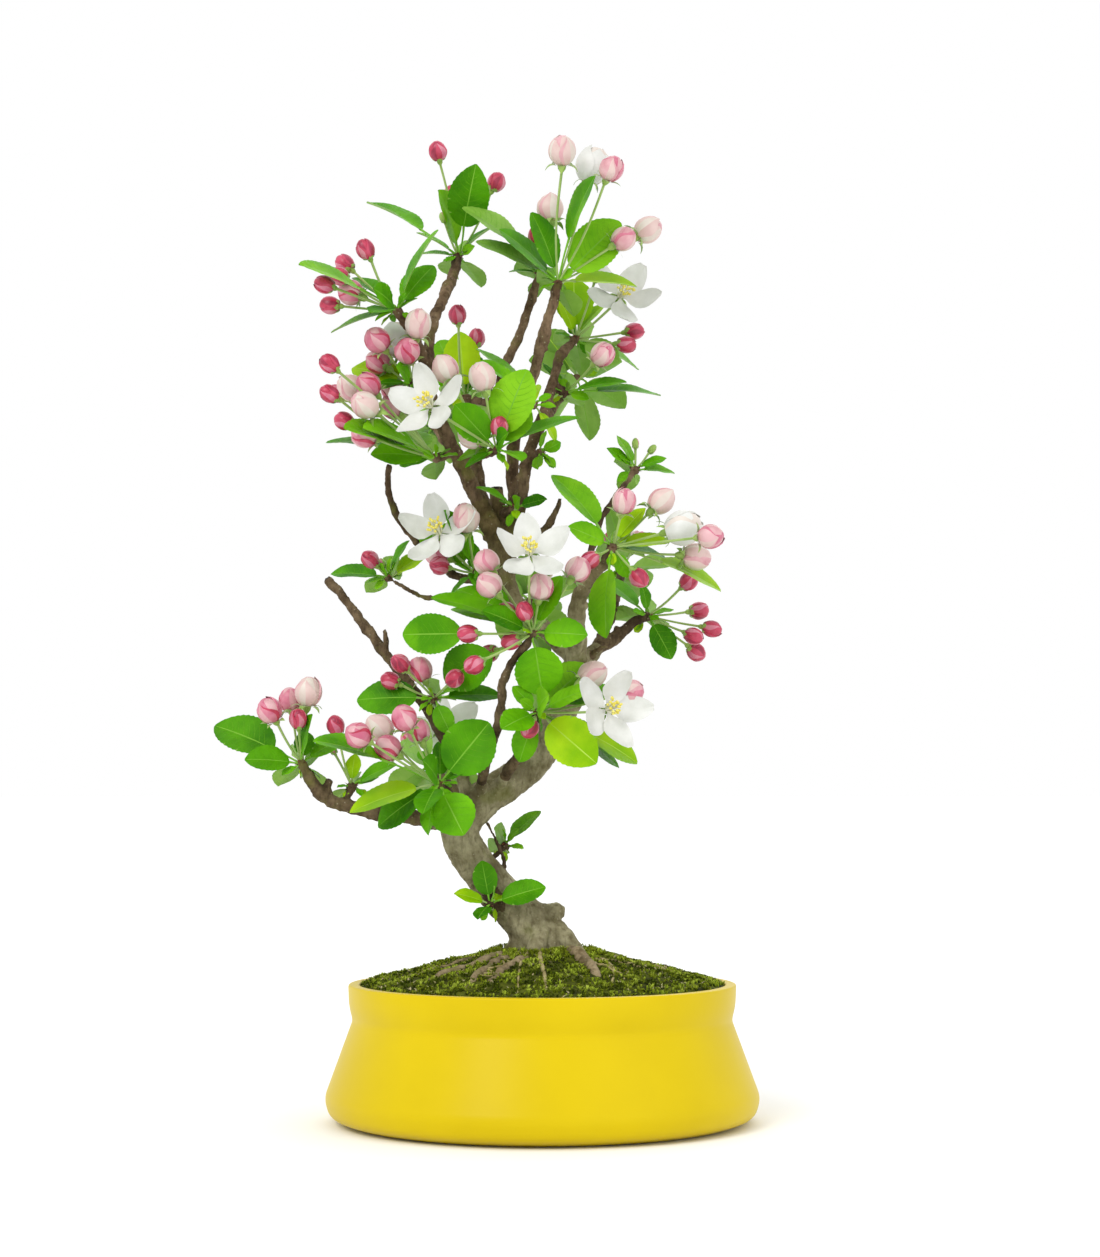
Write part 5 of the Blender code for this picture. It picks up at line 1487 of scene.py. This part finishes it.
def root_line(spots, thick, thin, sink, phase):
    """A root's line along spots seen from above, that dips into the moss and comes out again."""
    rows = []
    flat = limb_line(spots, thick, thin, 7)
    last = len(flat) - 1
    for k, (x, y, radius) in enumerate(flat):
        near = 0.0
        if x < 10 and thick > 1.2:
            near = max(0.0, 1 - max(0.0, math.hypot(x, y) - SEAT_RADIUS) / 9)
        far = max(0.0, k / last - 0.7) / 0.3
        dip = sink + 0.5 * noise.noise(Vector((x / 8, y / 8, phase))) + 0.5 * near + 0.7 * far
        rows.append((x, y, soil_height(x, y) + radius * (1 - 2 * dip), radius))
    return rows


def build_roots(materials):
    """The surface roots with their relief, and finer ones beside them."""
    rng = random.Random(SEED + 2)
    thick_roots = Pile()
    fine_roots = Pile()
    for spots, thick, thin in ROOTS.values():
        thick_roots.tube(root_line(spots, thick, thin, 0.5, 1.0), LIMB_SIDES, "root", knobbly(rng, 9, 0.18))
    for k, (spots, thick, thin, kind) in enumerate(FINE_ROOTS):
        pile, sink = (fine_roots, 0.45) if kind == "root_pale" else (thick_roots, 0.6)
        pile.tube(root_line(spots, thick, thin, sink, 10.0 + k), 10, kind, knobbly(rng, 8, 0.22))
    for k in range(ROOTLETS):
        angle = rng.uniform(0, math.tau)
        reach = rng.uniform(16, 52)
        spots = []
        for _ in range(rng.randrange(4, 8)):
            spots.append((reach * math.cos(angle), reach * math.sin(angle)))
            reach = min(ROOTLET_END, reach + rng.uniform(2, 6))
            angle += rng.uniform(-0.16, 0.16)
        fine_roots.tube(root_line(spots, rng.uniform(0.45, 0.75), 0.35, 0.42, 40.0 + k), 6, "root_pale")
    roots = remeshed("surface_roots", thick_roots, ROOT_VOXEL, 2)
    roughen(roots, 0.5, 3.0)
    roots.data.materials.clear()
    roots.data.materials.append(materials["root"])
    roots.data.shade_smooth()
    finish_piece(roots, list(ROOTS))
    fine_roots.build("fine_roots", materials, list(ROOTS), "root_bark")


def pot_profile():
    """The pot's outline, down its inner side from the rim and up its outer side, with rounded corners."""
    inner = POT_WAIST_RADIUS - POT_WALL
    corners = [        # radius, height and how far the corner is rounded off
        (0.0, POT_FLOOR, 0), (inner - 1.0, POT_FLOOR, 1), (inner, POT_WAIST_HEIGHT, 3),
        (POT_RIM_RADIUS - POT_WALL, POT_HEIGHT, 1.0), (POT_RIM_RADIUS, POT_HEIGHT, 1.1),
        (POT_RIM_RADIUS - 0.2, POT_HEIGHT - 9, 3), (POT_WAIST_RADIUS, POT_WAIST_HEIGHT, 1.6),
        (POT_BELLY_RADIUS - 0.2, POT_BELLY_HEIGHT + 2.5, 3.0), (POT_BELLY_RADIUS - 2.2, 3.6, 4.0),
        (POT_BELLY_RADIUS - 10.5, 0.6, 3.0), (POT_FOOT_RADIUS, 0.0, 1.5), (0.0, 0.0, 0)]
    rows = []
    for k, (radius, height, round_off) in enumerate(corners):
        here = Vector((radius, height))
        if not round_off:
            rows.append(here)
            continue
        before = Vector(corners[k - 1][:2]) - here
        after = Vector(corners[k + 1][:2]) - here
        cut = min(round_off, before.length * 0.45, after.length * 0.45)
        start = here + before.normalized() * cut
        end = here + after.normalized() * cut
        for step in range(CORNER_STEPS + 1):
            t = step / CORNER_STEPS
            rows.append(start.lerp(here, t).lerp(here.lerp(end, t), t))
    return rows


def build_pot(materials):
    """The pot turned finely, its wall a little uneven as thrown clay is."""
    profile = pot_profile()
    points = []
    for row in profile:
        for side in range(POT_SIDES):
            out = level(math.tau * side / POT_SIDES)
            wander = 0.0
            if 1.5 < row.y < POT_HEIGHT - 1.0 and row.x > 60:
                wander = POT_WANDER * noise.noise(Vector((out.x * 2.2, out.y * 2.2, row.y / 26)))
            points.append(out * (row.x + wander) + UP * row.y)
    pile = Pile()
    pile.add(points, flipped(grid(len(profile) - 1, POT_SIDES, closed=True)), "glaze")
    pot = pile.build("glazed_pot", materials, ["pot"], "glaze")
    clean = bmesh.new()
    clean.from_mesh(pot.data)
    bmesh.ops.remove_doubles(clean, verts=clean.verts, dist=0.00001)
    bmesh.ops.recalc_face_normals(clean, faces=clean.faces)
    clean.to_mesh(pot.data)
    clean.free()


def facing_turn(way):
    """The turn that points a camera's or lamp's view along a way."""
    return way.to_track_quat("-Z", "Y").to_euler()


def area_light(name, place, target, width, watts):
    """A square lamp that looks at a point; lengths in millimetres."""
    lamp = bpy.data.lights.new(name, "AREA")
    lamp.size = width * MM
    lamp.energy = watts
    obj = linked(name, lamp)
    obj.location = Vector(place) * MM
    obj.rotation_euler = facing_turn(Vector(target) - Vector(place))


def build_stage():
    """A pale floor and soft, nearly shadowless studio light on white surroundings."""
    bpy.ops.mesh.primitive_circle_add(vertices=96, radius=FLOOR_RADIUS, fill_type="NGON")
    floor = bpy.context.object
    floor.name = "floor"
    floor.data.materials.append(surface("pale_floor", *FLOOR_TONES, 2.0, 0.9, 0.0))
    world = bpy.data.worlds.new("studio")
    bpy.context.scene.world = world
    world.use_nodes = True
    background = world.node_tree.nodes["Background"]
    background.inputs["Color"].default_value = (1.0, 1.0, 1.0, 1.0)
    background.inputs["Strength"].default_value = WORLD_LIGHT
    sun = bpy.data.lights.new("key", "SUN")
    sun.energy = SUN_LIGHT
    sun.angle = math.radians(SUN_SPREAD)
    linked("key", sun).rotation_euler = facing_turn(Vector(SUN_WAY))
    for lamp in LAMPS:
        area_light(*lamp)


def build_camera():
    """The camera at the photograph's height and distance."""
    data = bpy.data.cameras.new("camera")
    data.sensor_fit = "VERTICAL"
    data.sensor_height = SENSOR
    data.lens = LENS
    data.clip_start = CLIP_START
    camera = linked("camera", data)
    place = Vector((CAMERA_SIDE, -CAMERA_DISTANCE, CAMERA_HEIGHT))
    target = Vector((CAMERA_SIDE, 0, AIM_HEIGHT))
    camera.location = place * MM
    camera.rotation_euler = facing_turn(target - place)
    bpy.context.scene.camera = camera


def main():
    """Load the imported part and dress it."""
    for left_over in list(bpy.data.objects):
        bpy.data.objects.remove(left_over)
    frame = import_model()
    bpy.context.scene.view_settings.view_transform = "Standard"
    materials = make_materials()
    build_camera()
    build_stage()
    build_pot(materials)
    build_moss(materials)
    build_roots(materials)
    build_wood(materials)
    solids = {name: Solid(frame["nodes"][name]) for name in MASSES}
    grow_masses(solids, materials)


main()
